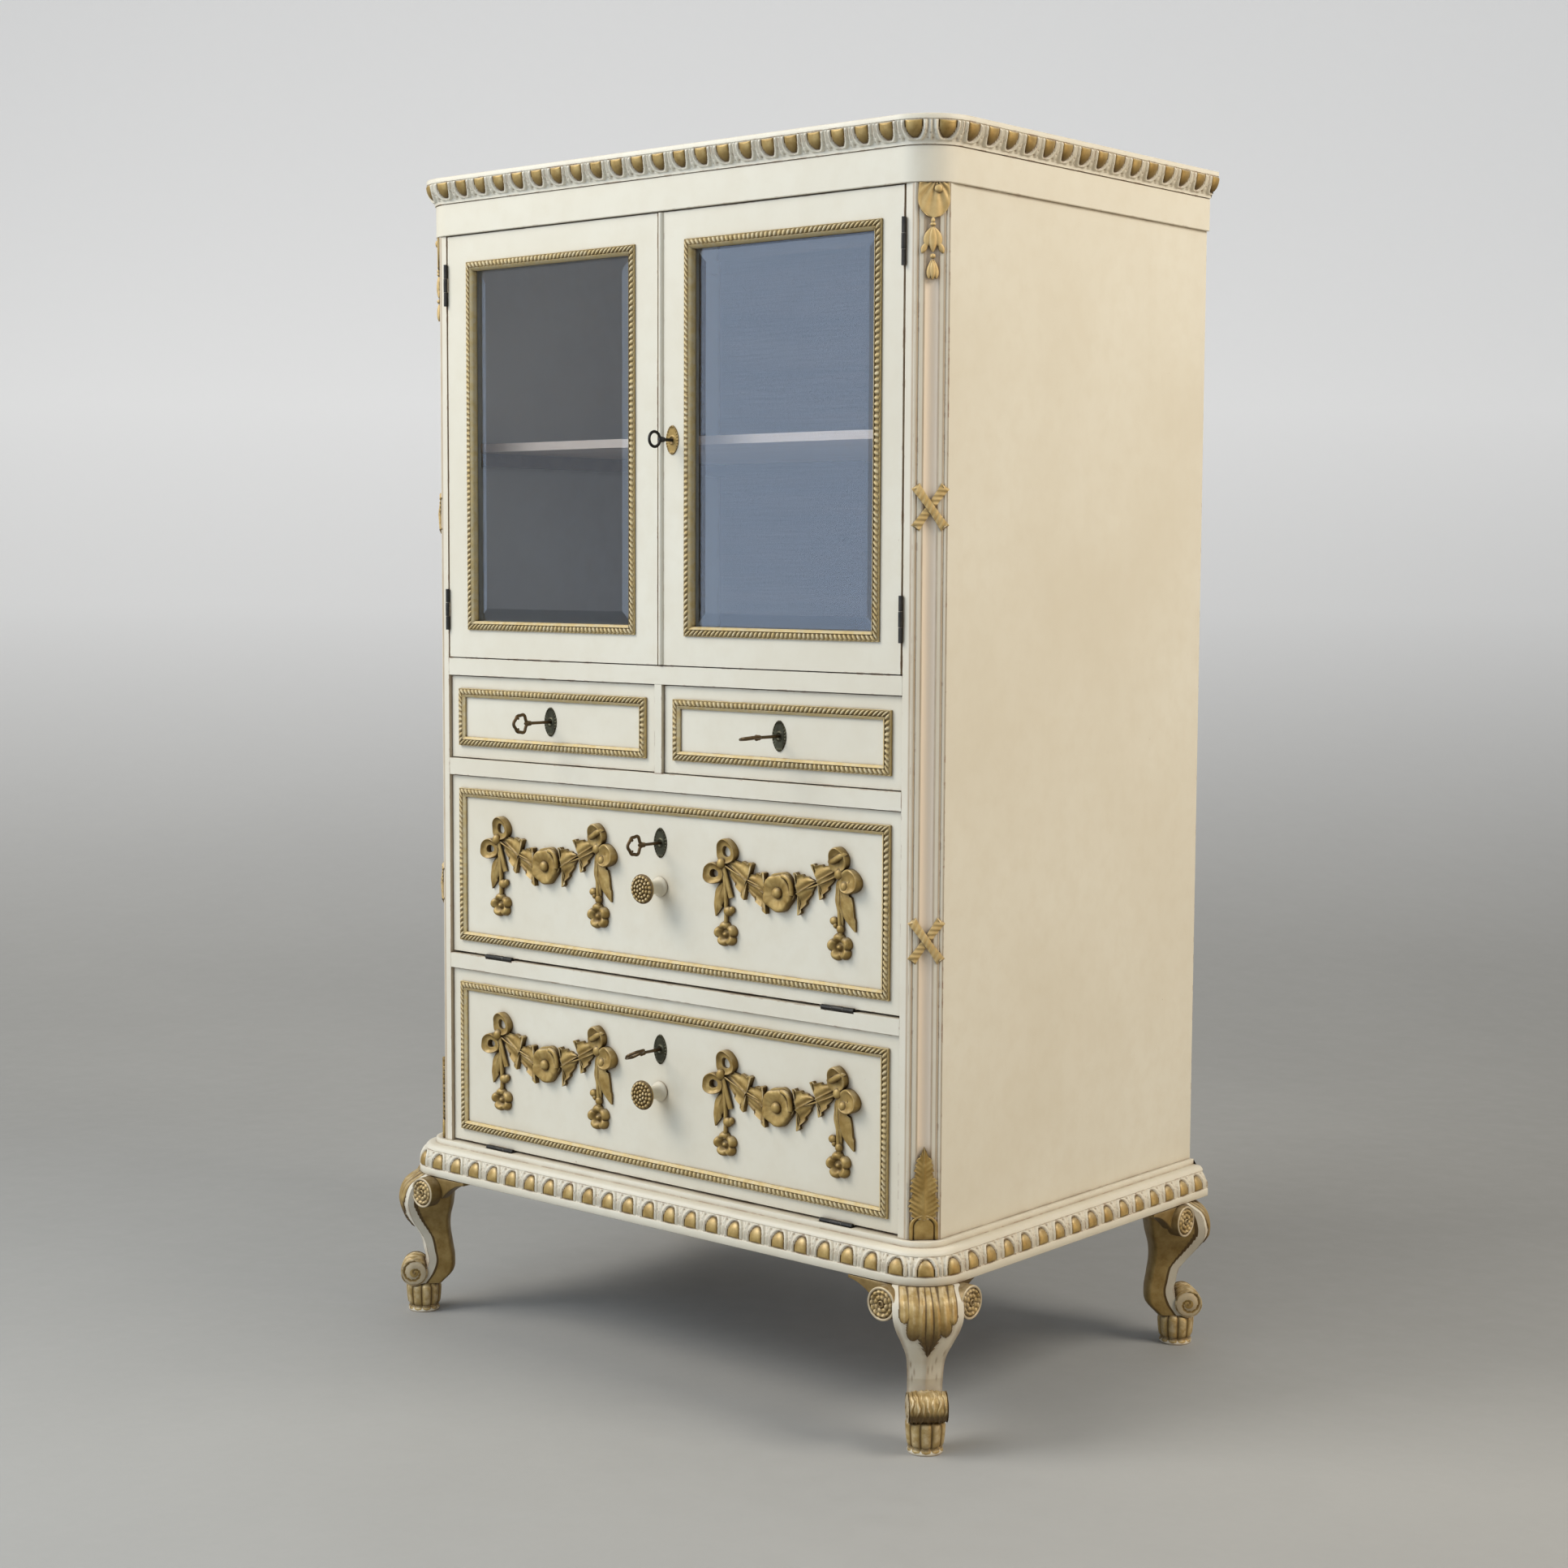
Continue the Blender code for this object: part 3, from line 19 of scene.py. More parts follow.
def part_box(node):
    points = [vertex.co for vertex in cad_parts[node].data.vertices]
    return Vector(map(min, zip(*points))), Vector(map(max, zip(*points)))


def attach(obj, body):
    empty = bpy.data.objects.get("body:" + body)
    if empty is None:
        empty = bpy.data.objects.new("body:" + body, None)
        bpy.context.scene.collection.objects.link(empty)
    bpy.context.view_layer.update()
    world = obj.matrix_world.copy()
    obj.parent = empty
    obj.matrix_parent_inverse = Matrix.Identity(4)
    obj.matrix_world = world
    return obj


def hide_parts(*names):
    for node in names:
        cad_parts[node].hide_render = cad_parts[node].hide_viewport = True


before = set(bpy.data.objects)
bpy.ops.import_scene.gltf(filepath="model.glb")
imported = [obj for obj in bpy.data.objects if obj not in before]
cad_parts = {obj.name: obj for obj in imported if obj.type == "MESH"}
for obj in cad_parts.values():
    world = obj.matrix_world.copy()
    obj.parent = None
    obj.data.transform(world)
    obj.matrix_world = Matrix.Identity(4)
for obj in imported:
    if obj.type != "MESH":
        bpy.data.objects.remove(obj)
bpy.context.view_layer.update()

LOG = logging.getLogger("cabinet")
MM = 0.001
TAU = 2 * math.pi
CASE_HALF = 0.4317
CASE_DEPTH = 0.5856
OPENING_HALF = 0.390
FRONT_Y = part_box("rail_upper")[0].y
BASE_LOW, BASE_HIGH = (corner.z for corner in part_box("base_moulding"))
CORNICE_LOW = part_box("cornice")[0].z
FRIEZE_LOW, FRIEZE_HIGH = (corner.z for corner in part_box("frieze"))
SIDES = (("left", -1), ("right", 1))
# Out from the edge of the case to that of the base
BASE_PROUD = 0.029
# Middle of a post's canted face, out from the middle of the front and back from it
CANT_MIDDLE = (0.41735, 0.01435)
Array = np.ndarray
Floats = Sequence[float]
Pair = tuple[float, float]
Triple = tuple[float, float, float]
Four = tuple[float, float, float, float]
Table = tuple[tuple[float, ...], ...]
Rows = tuple[tuple, ...]
Section = tuple[list[Pair], list[Pair]]
Socket = bpy.types.NodeSocket


class Slot(Enum):
    """Material slots of the record."""

    CREAM = "cream_paint"
    GILT = "worn_gilding"
    STAINED = "dark_stained_wood"
    PALE = "pale_wood"
    GLASS = "bevelled_glass"
    BRONZE = "dark_bronze"
    IRON = "black_iron"


class EggHead(Enum):
    """Which end of the carved eggs is cut flat."""

    FLAT_TOP = "flat top"
    FLAT_FOOT = "flat foot"


@dataclass
class Surface:
    """Closed shapes as points and four-sided faces.

    Attributes:
        points: One row of coordinates for each point.
        faces: Four point numbers for each face.
        gilt: Share of gold on each point, and above 1 the share of it that is paler, by wear and by painted
            highlight.
        glaze_and_shade: Share of darkening on each point: painted shade in hollows, creases and undersides,
            with some real glaze and chips.
    """

    points: Array
    faces: Array
    gilt: Array
    glaze_and_shade: Array


def held(value: Array) -> Array:
    """The value, held between 0 and 1."""
    return np.clip(value, 0, 1)


def hill(value: Array) -> Array:
    """Bell curve: 1 where the value is 0, falling off with its square."""
    return np.exp(-(value**2))


def saw(value: Array) -> Array:
    """Toothed wave: the part of the value past its whole number."""
    return value - np.floor(value)


def turns(count: int) -> Array:
    """Even angles of a full turn, without the last one that falls on the first."""
    return np.linspace(0, TAU, count, endpoint=False)


def column_of(start: float, end: float, count: int) -> Array:
    """Even steps as a column."""
    return np.linspace(start, end, count)[:, None]


def row_of(start: float, end: float, count: int) -> Array:
    """Even steps as a row."""
    return column_of(start, end, count).T


def xyz(x: Array, y: Array, z: Array) -> Array:
    """Points of three coordinates, each spread to the shape that they share."""
    return np.stack(np.broadcast_arrays(x, y, z), axis=-1)


def joined(*blocks: Array) -> Array:
    """Blocks of columns, side by side."""
    return np.concatenate(blocks, axis=1)


def sheet(rows: int, columns: int, start: float = 0.0) -> tuple[Array, Array]:
    """Parameters of a sheet: a column from start to 1 along it, and a row from -1 to 1 across it."""
    return column_of(start, 1, rows), row_of(-1, 1, columns)


def heading(degrees: float) -> Pair:
    """Cosine and sine of a direction in degrees."""
    return math.cos(math.radians(degrees)), math.sin(math.radians(degrees))


def bearing(base: Floats, tip: Floats) -> float:
    """Direction from a base to a tip, in degrees from the across direction."""
    return math.degrees(math.atan2(tip[1] - base[1], tip[0] - base[0]))


def grid(points: Array, gilt: Array | float = 1.0, glaze_and_shade: Array | float = 0.0,
         ring: bool = False) -> Surface:
    """Joins a grid of closed sections into a surface.

    Each point joins the next one in its section and the same one in the next section. The first and last
    section are closed by a fan to their middle, or joined to each other when the sections form a ring.

    Args:
        points: Sections by points by coordinates.
        gilt: Share of gold, for the whole grid or each point.
        glaze_and_shade: Share of darkening by painted shade and glaze, for the whole grid or each point.
        ring: True where the last section runs on into the first.

    Returns:
        The closed surface.
    """
    masks = [np.broadcast_to(np.asarray(mask, float), points.shape[:2]) for mask in (gilt, glaze_and_shade)]
    if not ring:
        ends = [np.repeat(points[k].mean(axis=0)[None, None], points.shape[1], axis=1) for k in (0, -1)]
        points = np.concatenate([ends[0], points, ends[1]])
        masks = [np.concatenate([mask[:1], mask, mask[-1:]]) for mask in masks]
    rows, columns = points.shape[:2]
    row, column = np.meshgrid(np.arange(rows if ring else rows - 1), np.arange(columns), indexing="ij")
    after, beside = (row + 1) % rows, (column + 1) % columns
    corners = ((row, column), (row, beside), (after, beside), (after, column))
    faces = np.stack([a * columns + b for a, b in corners], axis=-1).reshape(-1, 4)
    return Surface(points.reshape(-1, 3), faces, masks[0].ravel(), masks[1].ravel())


def together(shapes: Sequence[Surface]) -> Surface:
    """One surface of several, with the faces' point numbers moved on by the points before them.

    Args:
        shapes: Surfaces to join.

    Returns:
        The joined surface.
    """
    starts = np.cumsum([0] + [len(shape.points) for shape in shapes[:-1]])
    return Surface(
        np.concatenate([shape.points for shape in shapes]),
        np.concatenate([shape.faces + start for shape, start in zip(shapes, starts)]),
        np.concatenate([shape.gilt for shape in shapes]),
        np.concatenate([shape.glaze_and_shade for shape in shapes]),
    )


@dataclass(frozen=True)
class Seat:
    """Flat place that ornament is laid on: a point, and the directions across, up and outwards."""

    point: Triple
    across: Triple = (1.0, 0.0, 0.0)
    up: Triple = (0.0, 0.0, 1.0)
    out: Triple = (0.0, -1.0, 0.0)

    def laid(self, shape: Surface) -> Surface:
        """The shape, drawn in millimetres across, up and outwards, in metres on the seat."""
        axes = np.array([self.across, self.up, self.out])
        return Surface(np.array(self.point) + MM * shape.points @ axes, shape.faces, shape.gilt, shape.glaze_and_shade)


def bezier(*points: Floats, count: int = 16) -> Array:
    """Smooth path: the Bernstein blend of the given points.

    Args:
        points: Control points, of any number of coordinates.
        count: Points on the path.

    Returns:
        Points along the path.
    """
    t = column_of(0, 1, count)
    degree = len(points) - 1
    weights = np.hstack([math.comb(degree, k) * t**k * (1 - t) ** (degree - k) for k in range(degree + 1)])
    return weights @ np.array(points, float)


def bar(path: Array, wide: Array | float, thick: Array | float, ring: bool = False,
        sides: int = 12, lean: Floats = (0.0, 0.0, 1.0)) -> Surface:
    """Oval bar along a path: each section is an ellipse square to the path.

    Args:
        path: Points by coordinates.
        wide: Half width, square to the path and to lean.
        thick: Half thickness along lean.
        ring: True where the path closes on itself.
        sides: Points in a section.
        lean: Direction of the thickness.

    Returns:
        The bar.
    """
    if ring:
        way = np.roll(path, -1, axis=0) - np.roll(path, 1, axis=0)
    else:
        way = np.gradient(path, axis=0)
    lean_way = np.asarray(lean, float)
    side = np.cross(way, lean_way)
    side /= np.linalg.norm(side, axis=1, keepdims=True)
    turn = turns(sides)
    wide = np.broadcast_to(wide, len(path))[:, None, None]
    thick = np.broadcast_to(thick, len(path))[:, None, None]
    section = wide * np.cos(turn)[None, :, None] * side[:, None]
    section = section + thick * np.sin(turn)[None, :, None] * lean_way
    return grid(path[:, None] + section, ring=ring)


def boss(middle: Floats, radii: Floats, rows: int = 9, sides: int = 14) -> Surface:
    """Ellipsoid: a half circle of the given radii turned about the outward direction.

    Args:
        middle: Its middle.
        radii: Half sizes across, up and outwards.
        rows: Sections from back to front.
        sides: Points in a section.

    Returns:
        The ellipsoid.
    """
    tilt = column_of(-0.49 * math.pi, 0.49 * math.pi, rows)
    turn = turns(sides)[None, :]
    girth = np.cos(tilt)
    ball = xyz(girth * np.cos(turn), girth * np.sin(turn), np.sin(tilt))
    return grid(np.asarray(middle, float) + ball * np.asarray(radii, float))


def disc(middle: Floats, radius: Array, height: Array, gilt: Array | float = 1.0,
         glaze_and_shade: Array | float = 0.0) -> Surface:
    """Flower or dish: rings about the outward direction, of the given radius and height at each angle.

    Args:
        middle: Point of the face under the middle.
        radius: Rings by angles, from the middle outwards.
        height: Rings by angles, or rings by one.
        gilt: Share of gold.
        glaze_and_shade: Share of darkening by painted shade and glaze.

    Returns:
        The dish, closed at the back by its last ring.
    """
    turn = turns(radius.shape[1])[None, :]
    points = xyz(radius * np.cos(turn), radius * np.sin(turn), height)
    return grid(points + np.array([middle[0], middle[1], 0.0]), gilt, glaze_and_shade)


def blade(along: Array, across: Array, height: Array, base: Floats, way: float,
          foot: float = -0.4) -> Surface:
    """Leaf or plate lying on a face: an upper sheet of the given form over a flat back.

    Args:
        along: Rows by columns, distance from the base towards the tip.
        across: Rows by columns, distance to the left of that direction, from one edge to the other.
        height: Rows by columns, above the face.
        base: Place of the base on the face.
        way: Direction from base to tip, in degrees from the across direction.
        foot: Height of the flat back.

    Returns:
        The closed leaf.
    """
    upper = xyz(along, across, height)
    lower = upper[:, [-1, 0]].copy()
    lower[:, :, 2] = foot
    flat = joined(upper, lower)
    cos, sin = heading(way)
    x = base[0] + flat[..., 0] * cos - flat[..., 1] * sin
    y = base[1] + flat[..., 0] * sin + flat[..., 1] * cos
    return grid(xyz(x, y, flat[..., 2]))


@dataclass(frozen=True)
class Finish:
    """Base of the finishes: a named material with its record slot and a node tree of its own."""

    slot: Slot
    label: str

    def material(self) -> bpy.types.Material:
        """The material, made at its first use.

        Returns:
            The material.
        """
        found = bpy.data.materials.get(self.label)
        if found:
            return found
        made = bpy.data.materials.new(self.label)
        made.use_nodes = True
        made.node_tree.nodes.clear()
        self.paint(Nodes(made.node_tree))
        return made

    def paint(self, nodes: "Nodes") -> None:
        """Fills the empty node tree."""
        raise NotImplementedError


class Nodes:
    """Short ways to add and join shader nodes in one tree."""

    def __init__(self, tree: bpy.types.NodeTree) -> None:
        """Starts the tree with Object coordinates, the main shader and the output.

        Args:
            tree: Empty tree.
        """
        self.tree = tree
        self.place = self.add("TexCoord").outputs["Object"]
        self.shader = self.add("BsdfPrincipled")
        self.join(self.shader.outputs[0], self.add("OutputMaterial").inputs["Surface"])

    def add(self, kind: str, **values: object) -> bpy.types.ShaderNode:
        """A node with values set on its properties or sockets.

        Args:
            kind: Node type without its common prefix.
            values: Property names, or socket names with _ for a space.

        Returns:
            The node.
        """
        node = self.tree.nodes.new("ShaderNode" + kind)
        for name, value in values.items():
            if hasattr(node, name):
                setattr(node, name, value)
            else:
                node.inputs[name.replace("_", " ")].default_value = value
        return node

    def join(self, source: Socket, target: Socket) -> None:
        """Links one socket to another."""
        self.tree.links.new(source, target)

    def noise(self, scale: float, detail: float = 3.0, stretch: Floats = (1, 1, 1),
              shift: float = 0.0) -> Socket:
        """Noise over the piece, as a share from 0 to 1.

        Args:
            scale: Waves in a metre.
            detail: Layers of finer noise.
            stretch: Scale along each axis.
            shift: Moves the pattern, so that two noises differ.

        Returns:
            The factor socket.
        """
        mapping = self.add("Mapping")
        mapping.inputs["Scale"].default_value = stretch
        mapping.inputs["Location"].default_value = (shift, shift, shift)
        self.join(self.place, mapping.inputs["Vector"])
        noise = self.add("TexNoise", Scale=scale, Detail=detail, Roughness=0.6)
        self.join(mapping.outputs[0], noise.inputs["Vector"])
        return noise.outputs["Fac"]

    def ramp(self, source: Socket, low: float, high: float, start: float = 0.0, end: float = 1.0) -> Socket:
        """Value that runs from start to end while the source runs from low to high, and is held outside.

        Args:
            source: Value that drives it.
            low: Source at the start.
            high: Source at the end.
            start: First value.
            end: Last value.

        Returns:
            The value socket.
        """
        node = self.add("MapRange", clamp=True)
        for name, value in zip(("From Min", "From Max", "To Min", "To Max"), (low, high, start, end)):
            node.inputs[name].default_value = value
        self.join(source, node.inputs["Value"])
        return node.outputs[0]

    def math(self, operation: str, first: Socket, second: Socket | float) -> Socket:
        """Result of one operation on two values.

        Args:
            operation: Name of the operation.
            first: First value.
            second: Second value, or a constant.

        Returns:
            The value socket.
        """
        node = self.add("Math", operation=operation)
        self.join(first, node.inputs[0])
        if isinstance(second, (int, float)):
            node.inputs[1].default_value = second
        else:
            self.join(second, node.inputs[1])
        return node.outputs[0]

    def blend(self, share: Socket, first: object, second: object) -> Socket:
        """Colour between two colours or colour sockets, by a share.

        Args:
            share: Socket from 0 to 1.
            first: Colour at 0.
            second: Colour at 1.

        Returns:
            The colour socket.
        """
        node = self.add("Mix", data_type="RGBA")
        self.join(share, node.inputs["Factor"])
        for index, colour in ((6, first), (7, second)):
            if isinstance(colour, Socket):
                self.join(colour, node.inputs[index])
            else:
                node.inputs[index].default_value = (*colour, 1.0)
        return node.outputs[2]

    def hollow(self, distance: float) -> Socket:
        """Share of shade in corners and carved hollows, from nearby faces."""
        shade = self.add("AmbientOcclusion", samples=6, Distance=distance)
        return self.ramp(shade.outputs["AO"], 0.35, 0.95, 1.0, 0.0)

    def edges(self, radius: float) -> Socket:
        """Share of edge: how far the rounded normal turns from the face's own.

        Args:
            radius: Radius of the rounding.

        Returns:
            The share socket.
        """
        rounded = self.add("Bevel", samples=4, Radius=radius)
        own = self.add("NewGeometry")
        turned = self.add("VectorMath", operation="DOT_PRODUCT")
        self.join(rounded.outputs[0], turned.inputs[0])
        self.join(own.outputs["Normal"], turned.inputs[1])
        return self.ramp(turned.outputs["Value"], 0.985, 0.80, 0.0, 1.0)

    def parts(self, source: Socket) -> list[Socket]:
        """The three parts of a place or direction.

        Args:
            source: The place or direction.

        Returns:
            Sockets of X, Y and Z.
        """
        node = self.add("SeparateXYZ")
        self.join(source, node.inputs[0])
        return list(node.outputs)

    def facing(self) -> list[Socket]:
        """The three parts of the face's own direction."""
        return self.parts(self.add("NewGeometry").outputs["Normal"])

    def attribute(self, name: str) -> Socket:
        """Value that the piece carries on its points."""
        return self.add("Attribute", attribute_name=name).outputs["Fac"]

    def relief(self, source: Socket, strength: float, distance: float) -> None:
        """Bump from a height, on the main shader's normal.

        Args:
            source: Height.
            strength: Strength of the bump.
            distance: Depth that the whole height stands for.
        """
        bump = self.add("Bump", Strength=strength, Distance=distance)
        self.join(source, bump.inputs["Height"])
        self.join(bump.outputs[0], self.shader.inputs["Normal"])

    def give(self, name: str, source: Socket) -> None:
        """Links a socket to an input of the main shader."""
        self.join(source, self.shader.inputs[name])

    def fix(self, **values: object) -> None:
        """Sets constants on the main shader's own sockets."""
        for name, value in values.items():
            self.shader.inputs[name.replace("_", " ")].default_value = value


@dataclass(frozen=True)
class GoldPaint:
    """Colours of the bronze paint on carved work."""

    bright: Triple = (0.460, 0.318, 0.110)
    plain: Triple = (0.290, 0.180, 0.046)
    # Colour of the painted shade in hollows and on faces that look down.
    deep: Triple = (0.070, 0.038, 0.010)
    # Colour of rubbed edges, and of the painted highlight on high places and on faces that look up.
    rubbed: Triple = (0.660, 0.535, 0.320)
    metal: float = 0.32
    rough: float = 0.48
    # Share of painted shade on faces that look down.
    underside_shade: float = 0.62

    def colour(self, nodes: Nodes, hollow: Socket) -> Socket:
        """Gold that varies over the piece, is rubbed pale on edges, is paler on high places by wear and
        painted highlight, and darker in hollows by painted shade.

        Faces that look up get a painted highlight, and faces that look down a painted shade.

        Args:
            nodes: Helper on the material's tree.
            hollow: Share of painted shade and glaze in hollows.

        Returns:
            The colour socket.
        """
        drift = nodes.ramp(nodes.noise(70.0, 4.0, shift=3.0), 0.35, 0.68)
        gold = nodes.blend(drift, self.plain, self.bright)
        level = nodes.facing()[2]
        patchy = nodes.ramp(nodes.noise(110.0, 3.0), 0.40, 0.60, 0.15, 0.90)
        high = nodes.math("MAXIMUM", nodes.edges(0.0012), nodes.ramp(nodes.attribute("gilt"), 1.0, 2.0))
        # Painted highlight: faces that look up are blended towards the rubbed colour.
        high = nodes.math("MAXIMUM", high, nodes.ramp(level, 0.30, 0.90, 0.0, 0.75))
        gold = nodes.blend(nodes.math("MULTIPLY", high, patchy), gold, self.rubbed)
        # Painted shade: faces that look down are blended towards the deep colour.
        gold = nodes.blend(nodes.ramp(level, -0.15, -0.80, 0.0, self.underside_shade), gold, self.deep)
        # Painted shade in hollows.
        return nodes.blend(hollow, gold, self.deep)


@dataclass(frozen=True)
class CreamPaint(Finish):
    """Aged cream paint: slow yellowing, brush marks, brown glaze in corners deepened by painted shade, worn
    edges and chips.

    Where a piece carries gilding on its points, the gold takes over from the cream there.
    """

    slot: Slot = Slot.CREAM
    label: str = "aged_cream_paint"
    fresh: Triple = (0.745, 0.703, 0.578)
    aged: Triple = (0.665, 0.600, 0.460)
    brown: Triple = (0.255, 0.165, 0.085)
    bare: Triple = (0.300, 0.175, 0.105)
    gold: GoldPaint = GoldPaint()
    wear: float = 0.54
    reach: float = 0.010
    least: float = 0.20
    gilded: bool = False

    def paint(self, nodes: Nodes) -> None:
        """Blends fresh, aged, brown and bare paint, the brown being glaze and painted shade, then gold where
        the piece has it.

        Args:
            nodes: Helper on the empty tree.
        """
        broad = nodes.ramp(nodes.noise(2.6, 4.0), 0.30, 0.75)
        mottle = nodes.ramp(nodes.noise(38.0, 5.0, shift=1.7), 0.42, 0.80, 0.0, 0.55)
        colour = nodes.blend(broad, self.fresh, self.aged)
        colour = self.tinted(nodes, nodes.blend(mottle, colour, self.aged))
        # Painted shade: occlusion in corners and hollows browns the paint, together with the darkening that
        # the piece carries on its points.
        hollow = nodes.math("POWER", nodes.hollow(self.reach), 1.6)
        if self.gilded:
            hollow = nodes.math("MAXIMUM", hollow, nodes.attribute("glaze_and_shade"))
        hollow = self.further(nodes, hollow)
        patchy = nodes.ramp(nodes.noise(24.0, 3.0, shift=8.0), 0.30, 0.66, self.least, 0.90)
        colour = nodes.blend(nodes.math("MULTIPLY", hollow, patchy), colour, self.brown)
        worn = nodes.ramp(nodes.noise(60.0, 6.0, shift=4.0), self.wear, self.wear + 0.07)
        chips = nodes.math("MULTIPLY", worn, nodes.edges(0.0022))
        specks = nodes.ramp(nodes.noise(95.0, 2.0, shift=6.0), 0.765, 0.785)
        few = nodes.ramp(nodes.noise(7.0, 2.0, shift=2.0), 0.56, 0.66)
        bare = nodes.math("MAXIMUM", chips, nodes.math("MULTIPLY", specks, few))
        colour = nodes.blend(bare, colour, self.bare)
        brushed = nodes.noise(55.0, 4.0, (1.0, 1.0, 0.12), 5.0)
        rough = nodes.ramp(brushed, 0.2, 0.8, 0.36, 0.52)
        if self.gilded:
            gilt = nodes.ramp(nodes.attribute("gilt"), 0.35, 0.65)
            colour = nodes.blend(gilt, colour, self.gold.colour(nodes, hollow))
            nodes.give("Metallic", nodes.math("MULTIPLY", gilt, self.gold.metal))
        nodes.give("Base Color", colour)
        nodes.give("Roughness", rough)
        nodes.fix(Specular_IOR_Level=0.42)
        nodes.relief(nodes.math("SUBTRACT", brushed, bare), 0.16, 0.0012)

    def tinted(self, nodes: Nodes, colour: Socket) -> Socket:
        """The colour of the sound paint, with what a kind of this finish changes in it."""
        return colour

    def further(self, nodes: Nodes, hollow: Socket) -> Socket:
        """The share of brown glaze and painted shade, with what a kind of this finish adds to it."""
        return hollow


@dataclass(frozen=True)
class FlutedPaint(CreamPaint):
    """Cream paint of the posts: a tan hollow, painted shade in the lines of the flutes, and brown on the
    inner faces.

    Attributes:
        wash: Colour of the hollow.
        lines: Places of the lines of painted shade across the canted face, in millimetres from its middle.
    """

    label: str = "cream_paint_on_flutes"
    wash: Triple = (0.790, 0.655, 0.500)
    lines: tuple[float, ...] = (-22.0, -17.0, -9.4, 8.0, 14.0, 20.0)

    def across(self, nodes: Nodes) -> Socket:
        """Way across the canted face from its middle, times the square root of two.

        Args:
            nodes: Helper on the material's tree.

        Returns:
            The value socket.
        """
        x, y, _ = nodes.parts(nodes.place)
        summed = nodes.math("ADD", nodes.math("ABSOLUTE", x, 0.0), y)
        return nodes.math("SUBTRACT", summed, CANT_MIDDLE[0] + FRONT_Y + CANT_MIDDLE[1])

    def tinted(self, nodes: Nodes, colour: Socket) -> Socket:
        """Washes the hollow with a pinkish tan."""
        away = nodes.math("ABSOLUTE", self.across(nodes), 0.0)
        return nodes.blend(nodes.ramp(away, 0.010, 0.0135, 0.85, 0.10), colour, self.wash)

    def further(self, nodes: Nodes, hollow: Socket) -> Socket:
        """Adds a thin line of painted shade at each place across the face, and brown on the inner faces.

        Args:
            nodes: Helper on the material's tree.
            hollow: Share of brown glaze and painted shade so far.

        Returns:
            The share socket.
        """
        across = self.across(nodes)
        # Painted shade: a thin dark line at each flute edge.
        for line in self.lines:
            away = nodes.math("ABSOLUTE", nodes.math("SUBTRACT", across, line * MM * math.sqrt(2)), 0.0)
            hollow = nodes.math("MAXIMUM", hollow, nodes.ramp(away, 0.0006, 0.0024, 0.95, 0.0))
        inner = nodes.math("MULTIPLY", nodes.facing()[0], nodes.parts(nodes.place)[0])
        return nodes.math("MAXIMUM", hollow, nodes.ramp(inner, -0.30, -0.36, 0.0, 0.75))


@dataclass(frozen=True)
class WornGilding(Finish):
    """Bronze gold paint on carved ornament, with painted shade in the hollows, rubbed pale and given a
    painted highlight on the high places.
    """

    slot: Slot = Slot.GILT
    label: str = "worn_bronze_gilding"
    gold: GoldPaint = GoldPaint()
    shade: float = 0.012

    def paint(self, nodes: Nodes) -> None:
        """Gold by noise and hollow, with a fine uneven surface.

        Args:
            nodes: Helper on the empty tree.
        """
        # Painted shade in hollows, together with the darkening carried on the points.
        hollow = nodes.math("MAXIMUM", nodes.hollow(self.shade), nodes.attribute("glaze_and_shade"))
        nodes.give("Base Color", self.gold.colour(nodes, hollow))
        grain = nodes.noise(420.0, 3.0, shift=2.0)
        nodes.give("Roughness", nodes.ramp(grain, 0.25, 0.75, self.gold.rough - 0.08, self.gold.rough + 0.12))
        nodes.fix(Metallic=self.gold.metal, Specular_IOR_Level=0.28)
        nodes.relief(grain, 0.22, 0.0006)


@dataclass(frozen=True)
class Timber(Finish):
    """Wood with straight grain along X, stained or left pale."""

    light: Triple = (0.16, 0.10, 0.06)
    dark: Triple = (0.07, 0.04, 0.025)
    rough: float = 0.55

    def paint(self, nodes: Nodes) -> None:
        """Long bands of light and dark wood with fine pores.

        Args:
            nodes: Helper on the empty tree.
        """
        bands = nodes.noise(26.0, 5.0, (0.09, 1.0, 1.0))
        pores = nodes.noise(260.0, 2.0, (0.05, 1.0, 1.0), 3.0)
        colour = nodes.blend(nodes.ramp(bands, 0.32, 0.68), self.light, self.dark)
        colour = nodes.blend(nodes.ramp(pores, 0.60, 0.74, 0.0, 0.6), colour, self.dark)
        nodes.give("Base Color", colour)
        nodes.give("Roughness", nodes.ramp(pores, 0.3, 0.7, self.rough - 0.08, self.rough + 0.10))
        nodes.relief(pores, 0.20, 0.0008)


@dataclass(frozen=True)
class OldMetal(Finish):
    """Metal with a dark, uneven skin that is rubbed brighter on its edges."""

    skin: Triple = (0.10, 0.085, 0.055)
    rubbed: Triple = (0.30, 0.23, 0.13)
    bloom: Triple = (0.12, 0.14, 0.11)
    rough: float = 0.42

    def paint(self, nodes: Nodes) -> None:
        """Skin and bloom by noise, bright where edges are rubbed.

        Args:
            nodes: Helper on the empty tree.
        """
        cloud = nodes.ramp(nodes.noise(95.0, 4.0), 0.36, 0.66)
        colour = nodes.blend(cloud, self.skin, self.bloom)
        bright = nodes.math("MULTIPLY", nodes.edges(0.0008), nodes.ramp(nodes.noise(160.0), 0.35, 0.60))
        nodes.give("Base Color", nodes.blend(bright, colour, self.rubbed))
        grain = nodes.noise(520.0, 2.0, shift=4.0)
        nodes.give("Roughness", nodes.ramp(grain, 0.3, 0.7, self.rough - 0.10, self.rough + 0.14))
        nodes.fix(Metallic=0.85)
        nodes.relief(grain, 0.15, 0.0004)


